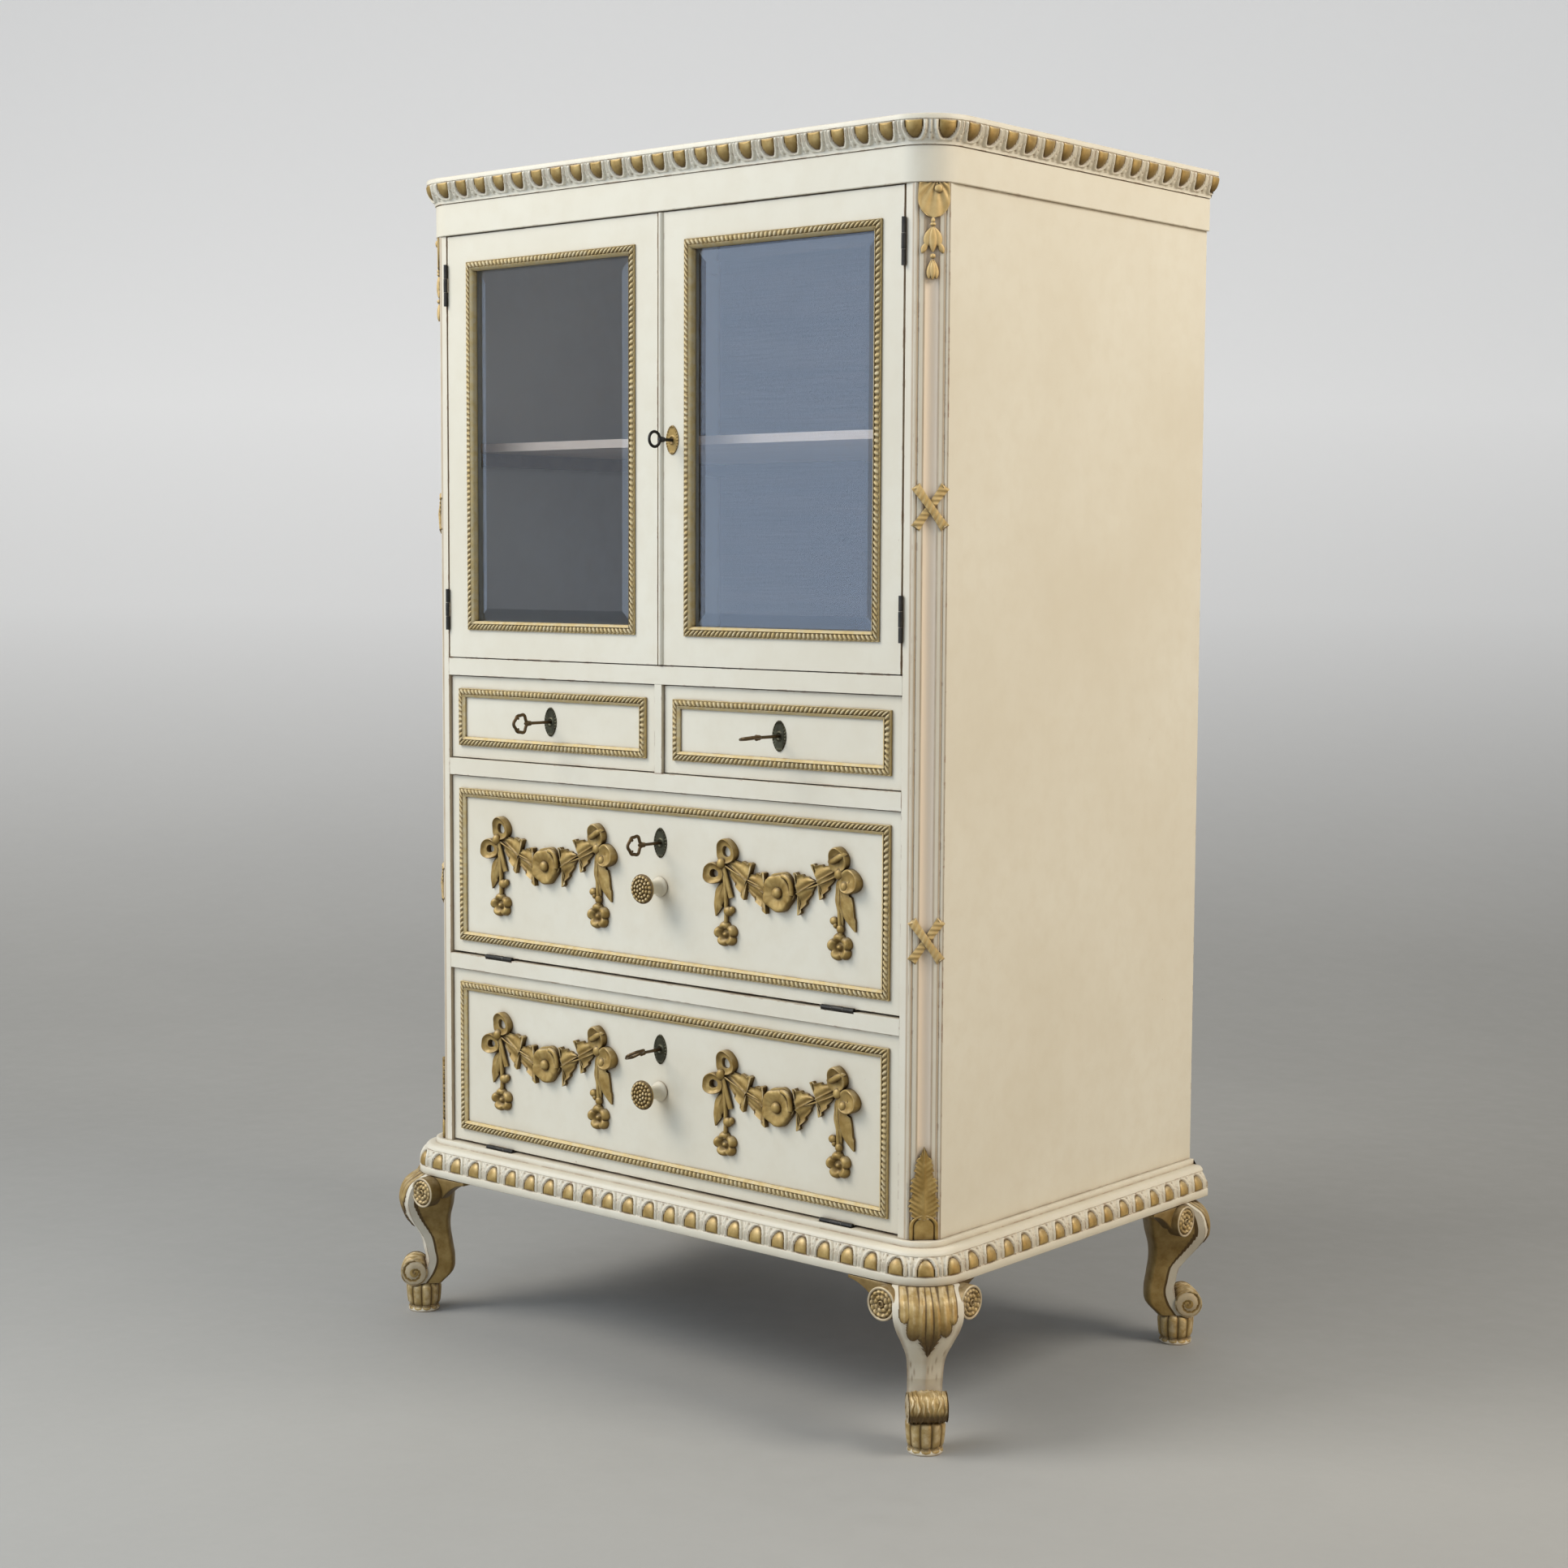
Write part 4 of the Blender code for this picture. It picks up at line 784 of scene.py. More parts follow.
@dataclass(frozen=True)
class PlateGlass(Finish):
    """Clear old glass with a cool cast that is a painted reflection of a bluish room, faint waves and a
    little dust.
    """

    slot: Slot = Slot.GLASS
    label: str = "old_plate_glass"

    def paint(self, nodes: Nodes) -> None:
        """Clear transmission, with waves as bump, a blue cast in the colour as painted reflection, and a
        faint film of dust in the colour.

        Args:
            nodes: Helper on the empty tree.
        """
        film = nodes.ramp(nodes.noise(6.0, 1.0), 0.40, 0.80)
        # Painted reflection: the blue cast stands for the bluish room seen in the panes; the noise between
        # the two blues is dust.
        nodes.give("Base Color", nodes.blend(film, (0.785, 0.875, 1.0), (0.76, 0.85, 0.98)))
        nodes.fix(Roughness=0.0, Transmission_Weight=1.0, IOR=1.55, Specular_Tint=(0.95, 0.97, 1.0, 1.0))
        nodes.relief(nodes.noise(9.0, 1.0, shift=2.0), 0.03, 0.002)


CREAM = CreamPaint()
PARCEL = CreamPaint(label="cream_paint_with_gilding", gilded=True, wear=0.50, least=0.35)
FLUTED = FlutedPaint(brown=(0.400, 0.285, 0.170), wear=0.56, reach=0.004, least=0.65)
GILDING = WornGilding()
FRAMES = WornGilding(
    label="worn_gilding_on_frames",
    gold=GoldPaint(
        (0.690, 0.525, 0.245),
        (0.550, 0.400, 0.165),
        rubbed=(0.630, 0.535, 0.335),
        metal=0.12,
        rough=0.60,
        underside_shade=0.28,
    ),
    shade=0.004,
)
WARM = WornGilding(
    label="worn_gilding_on_posts",
    gold=GoldPaint((0.670, 0.485, 0.215), (0.545, 0.370, 0.140), rubbed=(0.770, 0.625, 0.400), metal=0.15),
    shade=0.006,
)
STAINED = Timber(Slot.STAINED, "dark_stained_timber")
PALE = Timber(Slot.PALE, "pale_timber", (0.82, 0.66, 0.52), (0.64, 0.47, 0.33), 0.50)
ROSY = Timber(Slot.PALE, "pale_rosy_timber", (0.97, 0.66, 0.41), (0.90, 0.57, 0.34), 0.50)
GLASS = PlateGlass()
BRONZE = OldMetal(
    Slot.BRONZE, "dark_bronze_skin", (0.034, 0.031, 0.018), (0.26, 0.225, 0.13), (0.062, 0.059, 0.035)
)
KEY_BRASS = OldMetal(
    Slot.BRONZE, "browned_brass", (0.120, 0.078, 0.036), (0.33, 0.24, 0.12), (0.085, 0.055, 0.028), 0.38
)
IRON = OldMetal(
    Slot.IRON, "black_iron_skin", (0.030, 0.029, 0.027), (0.13, 0.12, 0.11), (0.050, 0.047, 0.042), 0.48
)


def show(obj: bpy.types.Object) -> bpy.types.Object:
    """Puts an object in the scene."""
    bpy.context.scene.collection.objects.link(obj)
    return obj


def add_piece(name: str, shape: Surface, finish: Finish, body: str, stands_for: Sequence[str] = (),
              sharp: float = 42.0) -> bpy.types.Object:
    """Makes a finished piece and sets it on its body.

    Args:
        name: Name of the piece.
        shape: Its surface, in the cabinet's frame.
        finish: Its finish.
        body: Body that it rides on.
        stands_for: Nodes that it takes the place of.
        sharp: Angle in degrees above which an edge stays sharp.

    Returns:
        The object.
    """
    mesh = bpy.data.meshes.new(name)
    mesh.from_pydata(shape.points, [], shape.faces)
    # The second attribute is the darkening: painted shade in hollows, creases and undersides, with some real
    # glaze and chips.
    for label, values in (("gilt", shape.gilt), ("glaze_and_shade", shape.glaze_and_shade)):
        mesh.attributes.new(label, "FLOAT", "POINT").data.foreach_set("value", values.astype(np.float32))
    work = bmesh.new()
    work.from_mesh(mesh)
    bmesh.ops.remove_doubles(work, verts=work.verts, dist=1e-6)
    bmesh.ops.recalc_face_normals(work, faces=work.faces)
    work.to_mesh(mesh)
    work.free()
    mesh.shade_smooth()
    mesh.set_sharp_from_angle(angle=math.radians(sharp))
    mesh.materials.append(finish.material())
    piece = show(bpy.data.objects.new(name, mesh))
    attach(piece, body)
    if stands_for:
        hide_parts(*stands_for)
    LOG.info("%s on %s: %d faces", name, body, len(mesh.polygons))
    return piece


@dataclass
class CasePath:
    """Way round the left side, front and right side of the case, with round front corners.

    Attributes:
        corner: Radius of the corners on the plane of the case.
        middle: Offset outwards at which lengths along the path are true.
    """

    corner: float
    middle: float

    @property
    def flat(self) -> float:
        """Length from the middle of the front to a corner."""
        return CASE_HALF - self.corner

    @property
    def reach(self) -> float:
        """Length from the middle of the front to the back of a side."""
        return self.flat + (self.corner + self.middle) * math.pi / 2 + CASE_DEPTH - self.corner

    def points(self, length: Array, offset: Array, height: Array) -> Array:
        """Points on the path, carried outwards and up.

        Up to the corner the point runs along the front, then it turns about the corner's middle by the length
        over the radius, and the rest of the length runs straight back.

        Args:
            length: From the middle of the front, negative to the left, in a column.
            offset: Outwards from the case, lengths by columns or one row.
            height: Up from the floor, in the same way.

        Returns:
            Lengths by columns by coordinates.
        """
        past = np.abs(length) - self.flat
        radius = self.corner + self.middle
        turn = np.clip(past / radius, 0, math.pi / 2)
        x = np.clip(length, -self.flat, self.flat)
        y = FRONT_Y + self.corner + np.maximum(past - radius * math.pi / 2, 0)
        out = self.corner + offset
        return xyz(x + np.sign(length) * np.sin(turn) * out, y - np.cos(turn) * out, height)


@dataclass
class CarvedMoulding:
    """Moulding with egg-and-dart carving on one band of its profile.

    Attributes:
        low: Height of its foot, which the heights of the profile start from.
        above: Profile from the inside to the top of the band, as offsets and heights.
        below: Profile from the foot of the band back to the inside.
        band: Offset and height of the band's top and of its foot.
        pitch: Spacing of the eggs on the front, and past its ends.
        seats: Middles, half length and depth of the hinge seats in the top, if there are any.
        seated: Offsets between which the profile is lowered by the seats.
        unit: Spacing of the eggs in millimetres that the sizes below are for.
        egg: Half width, straight length, what the round length lacks of the band's, and height of an egg.
        ring: Size of the frame as a ratio to the egg, its half width in the same way, and its height.
        holes: Across from the dart and up from its tip to each pin hole.
    """

    node: str
    path: CasePath
    low: float
    above: list[Pair]
    below: list[Pair]
    band: tuple[Pair, Pair]
    swell: float
    head: EggHead
    first: float
    pitch: Pair
    count: int
    seats: Triple | None = None
    seated: Pair = (-0.0054, 0.002)
    egg_samples: int = 26
    band_samples: int = 28
    unit: float = 36.0
    egg: Four = (9.6, 5.0, 8.4, 3.5)
    ring: Triple = (1.30, 0.20, 2.9)
    dart: float = 2.0
    bed: float = 0.9
    holes: tuple[Pair, ...] = ((0.0, 9.0), (3.1, 2.8))
    hole_half: float = 0.95
    hole_deep: float = 1.5

    def stations(self) -> tuple[Array, Array]:
        """Lengths along the path, and the place of each in the row of eggs.

        Returns:
            Lengths in metres, and egg numbers that are whole at the middle of an egg.
        """
        front = self.first + self.pitch[0] * np.arange(self.count)
        room = math.ceil(2 * self.path.reach / self.pitch[1])
        beyond = self.pitch[1] * np.arange(1, room)
        middles = np.concatenate([(front[0] - beyond)[::-1], front, front[-1] + beyond])
        number = np.arange(0, len(middles) - 1, 1 / self.egg_samples)
        length = np.interp(number, np.arange(len(middles)), middles)
        inside = np.abs(length) < self.path.reach - 0.0004
        ends = np.array([-self.path.reach, self.path.reach])
        end_number = np.interp(ends, middles, np.arange(len(middles)))
        length = np.concatenate([ends[:1], length[inside], ends[1:]])
        return length, np.concatenate([end_number[:1], number[inside], end_number[1:]])

    def carving(self, number: Array, down: Array, tall: float) -> tuple[Array, ...]:
        """Height, gold and painted shade of the carving on the band.

        An egg is the half ellipsoid over a rounded arch, a frame is a half round at a fixed ratio outside
        it, a dart is a narrow ridge half way to the next egg, and three pin holes stand about its tip.

        Args:
            number: Place in the row of eggs, in a column.
            down: Share of the way down the band, in a row.
            tall: Height of the band in millimetres.

        Returns:
            Height in millimetres, share of gold and share of painted shade.
        """
        x = np.abs(number - np.round(number)) * self.unit
        rise = (down if self.head is EggHead.FLAT_TOP else 1 - down) * tall
        half, straight, lacking, high = self.egg
        ratio = np.sqrt((x / half) ** 2 + (np.maximum(rise - straight, 0) / (tall - lacking)) ** 2)
        egg = high * np.sqrt(held(1 - ratio**2))
        size, thick, proud = self.ring
        frame_ring = proud * np.sqrt(held(1 - ((ratio - size) / thick) ** 2))
        gap = self.unit / 2 - x
        tip = held((tall - rise) / tall)
        dart = self.dart * hill(gap / (1.1 + 1.3 * (1 - tip)))
        height = np.maximum(np.maximum(egg, frame_ring), dart) - self.bed
        holes = sum(
            np.exp(-(((gap - across) / self.hole_half) ** 2) - ((tall - rise - up) / self.hole_half) ** 2)
            for across, up in self.holes
        )
        edge = np.clip((tall / 2 - 0.51 * np.abs(2 * rise - tall)) / 1.2, -1, 0)
        # Painted shade: a dark ring in the crease round each egg, in the pin holes, and in the cuts beside
        # the darts.
        glaze_and_shade = held(hill((ratio - 1.02) / 0.09) + 1.3 * holes)
        cut = held(hill((gap - 2.9) / 1.0) * (ratio > 1.4) * 0.35)
        return height - self.hole_deep * holes + 0.8 * edge, (ratio < 1.04) * 1.0, held(glaze_and_shade + cut)

    def build(self) -> Surface:
        """Carries the profile round the case, with the carving square to the band.

        Returns:
            The closed moulding.
        """
        length, number = (values[:, None] for values in self.stations())
        (top_out, top), (foot_out, foot) = self.band
        down = row_of(0, 1, self.band_samples)
        run, fall = foot_out - top_out, foot - top
        size = math.hypot(run, fall)
        height, gilt, glaze_and_shade = self.carving(number, down, size / MM)
        ends = held(np.minimum(down, 1 - down) * size / 0.0012)
        proud = height * MM * ends + 4 * self.swell * down * (1 - down)
        band_out = top_out + run * down - fall / size * proud
        band_up = top + fall * down + run / size * proud
        full = np.zeros((1, len(length), 1))
        plain = [np.array(part).T[:, None, :] + full for part in (self.above, self.below)]
        if self.seats:
            place, half, deep = self.seats
            seat = np.abs(np.abs(length) - place) < half
            inner = np.array([out for out, _ in self.above])
            low = (inner > self.seated[0]) & (inner < self.seated[1])
            plain[0][1] -= deep * seat * low[None, :]
        offset = joined(plain[0][0], band_out, plain[1][0])
        up = joined(plain[0][1], band_up, plain[1][1])
        none = [np.zeros_like(part[0]) for part in plain]
        gilt = joined(none[0], gilt * (ends > 0.5), none[1])
        glaze_and_shade = joined(none[0], glaze_and_shade, none[1])
        return grid(self.path.points(length, offset, self.low + up), gilt, glaze_and_shade)

    def dress(self) -> None:
        """Adds the moulding in place of its node."""
        add_piece(f"{self.node}_carved", self.build(), PARCEL, "cabinet", (self.node,), 55.0)


@dataclass
class Frieze:
    """Plain band under the cornice with finely rounded front corners and eased edges."""

    low: float = FRIEZE_LOW
    high: float = FRIEZE_HIGH
    corner: float = 0.046
    proud: float = 0.004
    inside: float = -0.018
    ease: float = 0.0008

    def build(self) -> Surface:
        """Carries a rectangle with eased outer edges round the case.

        Returns:
            The closed band.
        """
        path = CasePath(self.corner, self.proud)
        corner = np.linspace(path.flat, path.flat + (path.corner + path.middle) * math.pi / 2, 25)
        length = np.concatenate([[-path.reach], -corner[::-1], corner, [path.reach]])[:, None]
        out = np.array([self.inside, self.proud - self.ease, self.proud, self.proud, self.proud - self.ease])
        up = np.array([self.high, self.high, self.high - self.ease, self.low + self.ease, self.low])
        offset = np.append(out, self.inside)[None, :]
        return grid(path.points(length, offset, np.append(up, self.low)[None, :]), 0.0)

    def dress(self) -> None:
        """Adds the frieze in place of its node."""
        add_piece("frieze_rounded", self.build(), CREAM, "cabinet", ("frieze",), 30.0)


@dataclass
class BeadFrame:
    """Gilded frame with a thin outer fillet, a row of pearls and a slope down to its inner edge.

    Attributes:
        box: Left, bottom, right and top of its outer edge.
        section: Profile before and after the pearls, across from the outer edge and outwards, in millimetres.
        pearl_base: Height of the bed of the pearls in millimetres.
        pearl_band: Start and end of the pearls across the profile.
        slant: Lean of the pearls, as a share of their spacing.
    """

    name: str
    body: str
    box: Four
    face: float
    section: Section
    pearl_base: float
    stands_for: tuple[str, ...] = ()
    pearl_band: Pair = (1.0, 8.2)
    pearl_pitch: float = 7.0
    pearl_height: float = 2.7
    slant: float = 0.12
    samples: int = 10

    def build(self) -> Surface:
        """Carries the profile round the rectangle with mitred corners.

        Along each side a point runs from one mitred corner to the next. A pearl is the half ball over its own
        pitch and the width of the band, leaning along the side by the slant, and the bed round it has painted
        shade. The pearl tops and the inner slope are paler, as painted highlight.

        Returns:
            The frame as a closed ring.
        """
        start, stop = self.pearl_band
        across = np.linspace(-1, 1, 11)
        band = (start + stop) / 2 + (stop - start) / 2 * across
        before, after = (np.array(part, float) for part in self.section)
        inset = np.concatenate([before[:, 0], band, after[:, 0]])
        left, bottom, right, top = self.box
        corners = np.array([(left, bottom), (right, bottom), (right, top), (left, top)])
        inward = np.array([(1, 1), (-1, 1), (-1, -1), (1, -1)])
        rows, darks, worn = [], [], []
        for k in range(4):
            here = corners[k] + inward[k] * inset[:, None] * MM
            there = corners[(k + 1) % 4] + inward[(k + 1) % 4] * inset[:, None] * MM
            middle = len(before) + len(across) // 2
            long = np.abs(there[middle] - here[middle]).sum() / MM
            count = max(round(long / self.pearl_pitch), 1)
            t = np.arange(count * self.samples)[:, None] / (count * self.samples)
            near = 2 * saw(t * count - self.slant * across) - 1
            ball = self.pearl_height * np.sqrt(held(1 - (near * 1.30) ** 2 - (0.94 * across) ** 2))
            rise = [np.broadcast_to(part[:, 1], (len(t), len(part))) for part in (before, after)]
            height = joined(rise[0], self.pearl_base + ball, rise[1])
            plain = [np.zeros_like(part) for part in rise]
            full = ball / self.pearl_height
            # Painted shade in the bed between the pearls.
            darks.append(joined(plain[0], 0.7 * held(1 - 2.4 * full), plain[1]))
            # Painted highlight on the pearl tops and the inner slope and wall.
            slope = 0.8 * held((after[:, 0] - stop) * 4)
            worn.append(joined(plain[0], held(2.4 * full - 0.5), plain[1] + slope))
            plan = here + (there - here) * t[..., None]
            rows.append(xyz(plan[..., 0], self.face - height * MM, plan[..., 1]))
        return grid(np.concatenate(rows), 1 + np.concatenate(worn), np.concatenate(darks), ring=True)

    def dress(self) -> None:
        """Adds the frame."""
        add_piece(self.name, self.build(), FRAMES, self.body, self.stands_for, 60.0)


@dataclass
class Garland:
    """Carved swag of a flap: rose, folded leaves, bows with loops, and drops with leaf, bud and flower.

    Places are millimetres from the middle of the rose.

    Attributes:
        leaves: Base, upper tip and lower tip of each folded leaf, and its height.
        loops: Middle, half sizes, direction of the high side, lift and hole of each ribbon loop.
        drops: Middle and half sizes of the flowers at the foot of the drops.
        long_leaves: Base, tip, half width and teeth of the leaves on the drops.
        berries: Middle and half sizes of the buds and berries.
        stems: Points, samples, half width and half thickness of the stems and strings.
        knots: Place of each bow's knot, and where its string ends at the rose.
    """

    node: str
    body: str
    seat: Seat
    leaves: Table = (
        (-88, 30, -41, 33, -57, -16, 7.4), (-60, 12, -21, 24, -20, -30, 8.2),
        (92, 35, 51, 40, 66, -5, 7.4), (57, 17, 24, 28, 32, -27, 8.2),
    )
    loops: Table = (
        (-86, 43.5, 15.8, 15.8, 70, 0.0, 0.42), (-106, 15, 15.0, 13.5, 190, 1.0, 0.36),
        (93.5, 47, 13.5, 15.5, 100, 1.2, 0.04), (111, 22, 15.6, 15.0, -30, 1.4, 0.05),
    )
    drops: Table = ((-88, -60, 18.5, 16.5), (95, -58, 18.5, 17.5))
    long_leaves: Rows = (
        ((-90, 8), (-105.5, -39), 9.5, 3.0), ((91, 24), (118, -38), 11.5, 2.6),
        ((90, 16), (99, -34), 5.5, 0.0),
    )
    berries: Rows = (
        ((-83.5, -31, 3.5), (7.2, 6.4, 5.5)), ((-78, -29, 3.0), (4.0, 5.0, 4.0)),
        ((86, -27, 3.0), (6.4, 5.4, 4.8)), ((88.5, -32, 2.6), (4.0, 4.4, 4.0)),
        ((96, -36, 3.4), (5.2, 6.2, 5.0)), ((103, 15, 4.0), (6.6, 7.6, 6.4)),
    )
    stems: Rows = (
        (((8, 21, 8.5), (26, 22, 11), (23, -1, 8.5)), 16, 3.0, 3.2),
        (((79, 46, 4), (88, 40, 9), (101, 58, 11), (105, 52, 6)), 24, 4.0, 3.4),
        (((-93, 24, 3), (-84, -10, 4.2), (-88, -52, 3.5)), 16, 2.7, 3.2),
        (((95, 26, 3), (93, -10, 4.2), (97, -48, 3.5)), 16, 2.9, 3.2),
    )
    knots: Rows = (((-94, 28), -20), ((95, 30), 20))

    @staticmethod
    def folded_leaf(values: Floats) -> Surface:
        """Broad leaf folded along its midrib: two halves, each with a tip, and a notch between them.

        A point runs from the base towards the far edge, which goes from one tip over the notch to the other.
        The outer edges bulge and are cut by teeth. The midrib stands highest, the upper half lies nearly flat
        and the lower half is hollow.

        Args:
            values: Base x and z, upper tip, lower tip, and height.

        Returns:
            The leaf.
        """
        base, tips, high = np.array(values[:2]), np.array(values[2:6]).reshape(2, 2), values[6]
        middle = 0.94 * (tips.mean(axis=0) - base)
        long = math.hypot(*middle)
        way = middle / long
        along_tip, across_tip = (tips - base) @ way, (tips - base) @ np.array([-way[1], way[0]])
        a, b = sheet(36, 45, 0.02)
        upper = np.sign(across_tip[0]) * b > 0
        share = np.abs(b)
        tooth = 1 - 0.17 * saw(a * 3.3 + 0.15) * share**3
        along = a * (long + (np.where(upper, *along_tip) - long) * share**1.5) - 3.0 * saw(3.0 * share) * a**4
        across = a**0.72 * np.where(upper, *across_tip) * share * tooth
        flat = 0.72 + 0.16 * np.cos(9 * share + 4 * a)
        cup = 0.92 - 0.62 * np.sin(math.pi * held(share * 0.9)) ** 1.1 + 0.10 * np.cos(10 * share + 5 * a)
        rib = 1.1 * hill(share / 0.07)
        body = (high - 1.6) * np.where(upper, flat, cup) * (0.35 + 0.65 * a**0.7)
        height = 1.6 + body + rib + 1.4 * a**3 * share
        return blade(along, across, height, base, math.degrees(math.atan2(way[1], way[0])))

    @staticmethod
    def ribbon_loop(values: Floats) -> Surface:
        """Loop of a bow: a broad ribbon round an oval hole, dished towards the hole and higher on one side.

        Sections run round the oval. Across a section the height goes from the foot of the hole up to its lip,
        over the hollow of the ribbon to a rolled outer rim, and down to the face.

        Args:
            values: Middle x and z, half sizes, direction of the high side, lift, and the hole's share.

        Returns:
            The loop.
        """
        x, z, rx, rz, way, lift, hole = values
        turn = turns(72)[:, None]
        reach = np.array([0, 0, 0.05, 0.17, 0.4, 0.62, 0.79, 0.89, 0.97, 1.0, 1.0])[None, :]
        reach = hole + (1 - hole) * reach
        rise = np.array([-0.4, 3.4, 5.2, 5.4, 5.3, 6.2, 7.6, 8.4, 7.8, 5.6, -0.4])[None, :]
        lean = np.cos(turn - math.radians(way))
        raised = rise * (1.06 + 0.30 * lean) + lift + 0.5 * np.cos(5 * turn) * reach**2
        high = np.where(rise > 0, raised, rise)
        out = reach * (1 + 0.05 * np.cos(3 * turn + 0.7))
        points = xyz(x + rx * out * np.cos(turn), z + rz * out * np.sin(turn), high)
        return grid(points, ring=True)

    @staticmethod
    def rose() -> Surface:
        """Open rose: a ball in a dish whose rim waves in five lobes, over a petal that shows beside it.

        Returns:
            The rose.
        """
        turn = turns(90)[None, :]
        r = np.array([0.01, 3, 6, 8, 10, 12.5, 15, 17.5, 19.8, 21.6, 22.9, 23.7, 24, 24])[:, None]
        rise = np.array([6.4, 6.4, 6.6, 7.0, 7.6, 8.3, 9.0, 9.7, 10.1, 9.9, 9.0, 7.2, 4, -0.4])[:, None]
        share = (r / 24) ** 2
        lobes = 0.035 * np.cos(5 * turn + 0.6) + 0.014 * np.cos(8 * turn + 2.0)
        wave = (0.8 * np.cos(5 * turn + 0.6) + 0.25 * np.cos(15 * turn)) * share * (rise > 2)
        dish = disc((-1, -1), r * (1 + lobes * share) * 0.97, rise + wave)
        lower = np.minimum(rise, 7.4) - 0.8 * (rise > 0) + 0 * turn
        behind = disc((3.4, 3.2), r * (1 + lobes * share) * 0.93, lower)
        return together([dish, behind, boss((-0.5, -0.5, 7.6), (7.3, 7.3, 5.8), 13, 24)])

    @staticmethod
    def flower(values: Floats) -> Surface:
        """Small flower: six cupped petals about a sunk eye, each petal a lobe of the rim.

        Args:
            values: Middle x and z, and half sizes across and up.

        Returns:
            The flower.
        """
        x, z, rx, rz = values
        turn = turns(72)[None, :]
        r = np.array([0.01, 0.1, 0.18, 0.25, 0.33, 0.45, 0.58, 0.70, 0.82, 0.92, 1.0, 1.0])[:, None]
        rise = np.array([7.2, 6.8, 5.2, 3.2, 3.0, 5.6, 8.2, 9.3, 8.6, 6.6, 3.2, -0.4])[:, None]
        petal = np.abs(np.sin(2.5 * turn + 0.4)) ** 0.55
        lobes = 0.74 + 0.26 * petal
        height = np.where(rise > 0, rise * (1 - 0.5 * held(r * 2 - 0.5) * (1 - petal)), rise)
        shape = disc((0, 0), r * (1 + (lobes - 1) * r), height + 0.8 * np.cos(turn * 2) * r * (rise > 0))
        shape.points *= np.array([rx, rz, 1.0])
        shape.points += np.array([x, z, 0.0])
        return shape

    @staticmethod
    def long_leaf(base: Floats, tip: Floats, half: float, teeth: float) -> Surface:
        """Pointed leaf: two sine bows from base to tip with toothed edges and a sharp midrib.

        Args:
            base: Place of the base.
            tip: Place of the tip.
            half: Half width.
            teeth: Teeth along one edge, or 0 for a plain edge.

        Returns:
            The leaf.
        """
        a, b = sheet(26, 17, 0.02)
        long = math.dist(base, tip)
        bow = np.sin(math.pi * np.clip(a, 0, 0.995) ** 0.75) ** 0.8
        tooth = 1 - (0.24 * saw(a * teeth) * (b > 0) if teeth else 0.0)
        rib = 1.3 * hill(b / 0.14) * (1 - a)
        vein = 0.4 * np.cos(16 * (a - 0.35 * np.abs(b)))
        height = 1.4 + 4.2 * bow * np.cos(b * 1.2) ** 0.8 + rib + vein * bow + 1.6 * a
        return blade(a * long, b * half * bow * tooth, height, base, bearing(base, tip))

    def build(self) -> Surface:
        """All parts of the swag together on the flap.

        Returns:
            The swag in the cabinet's frame.
        """
        parts = [self.rose()]
        parts += [self.folded_leaf(leaf) for leaf in self.leaves]
        parts += [self.ribbon_loop(loop) for loop in self.loops]
        parts += [self.flower(drop) for drop in self.drops]
        parts += [self.long_leaf(*leaf) for leaf in self.long_leaves]
        parts += [boss(*berry) for berry in self.berries]
        parts += [bar(bezier(*points, count=count), wide, thick) for points, count, wide, thick in self.stems]
        for knot, inner in self.knots:
            parts.append(boss((*knot, 5.0), (6.6, 7.4, 6.0)))
            parts.append(bar(bezier((*knot, 4.0), (0.62 * knot[0], 11, 4.5), (inner, 2, 4.0)), 1.4, 1.8))
        tail = bezier((-91, 24, 4), (-86, 8, 4.5), (-80, -14, 2.5))
        parts.append(bar(tail, np.linspace(3.2, 4.2, len(tail)), 2.6))
        return self.seat.laid(together(parts))

    def dress(self) -> None:
        """Adds the swag in place of its node."""
        add_piece(f"{self.node}_carved", self.build(), GILDING, self.body, (self.node,), 50.0)


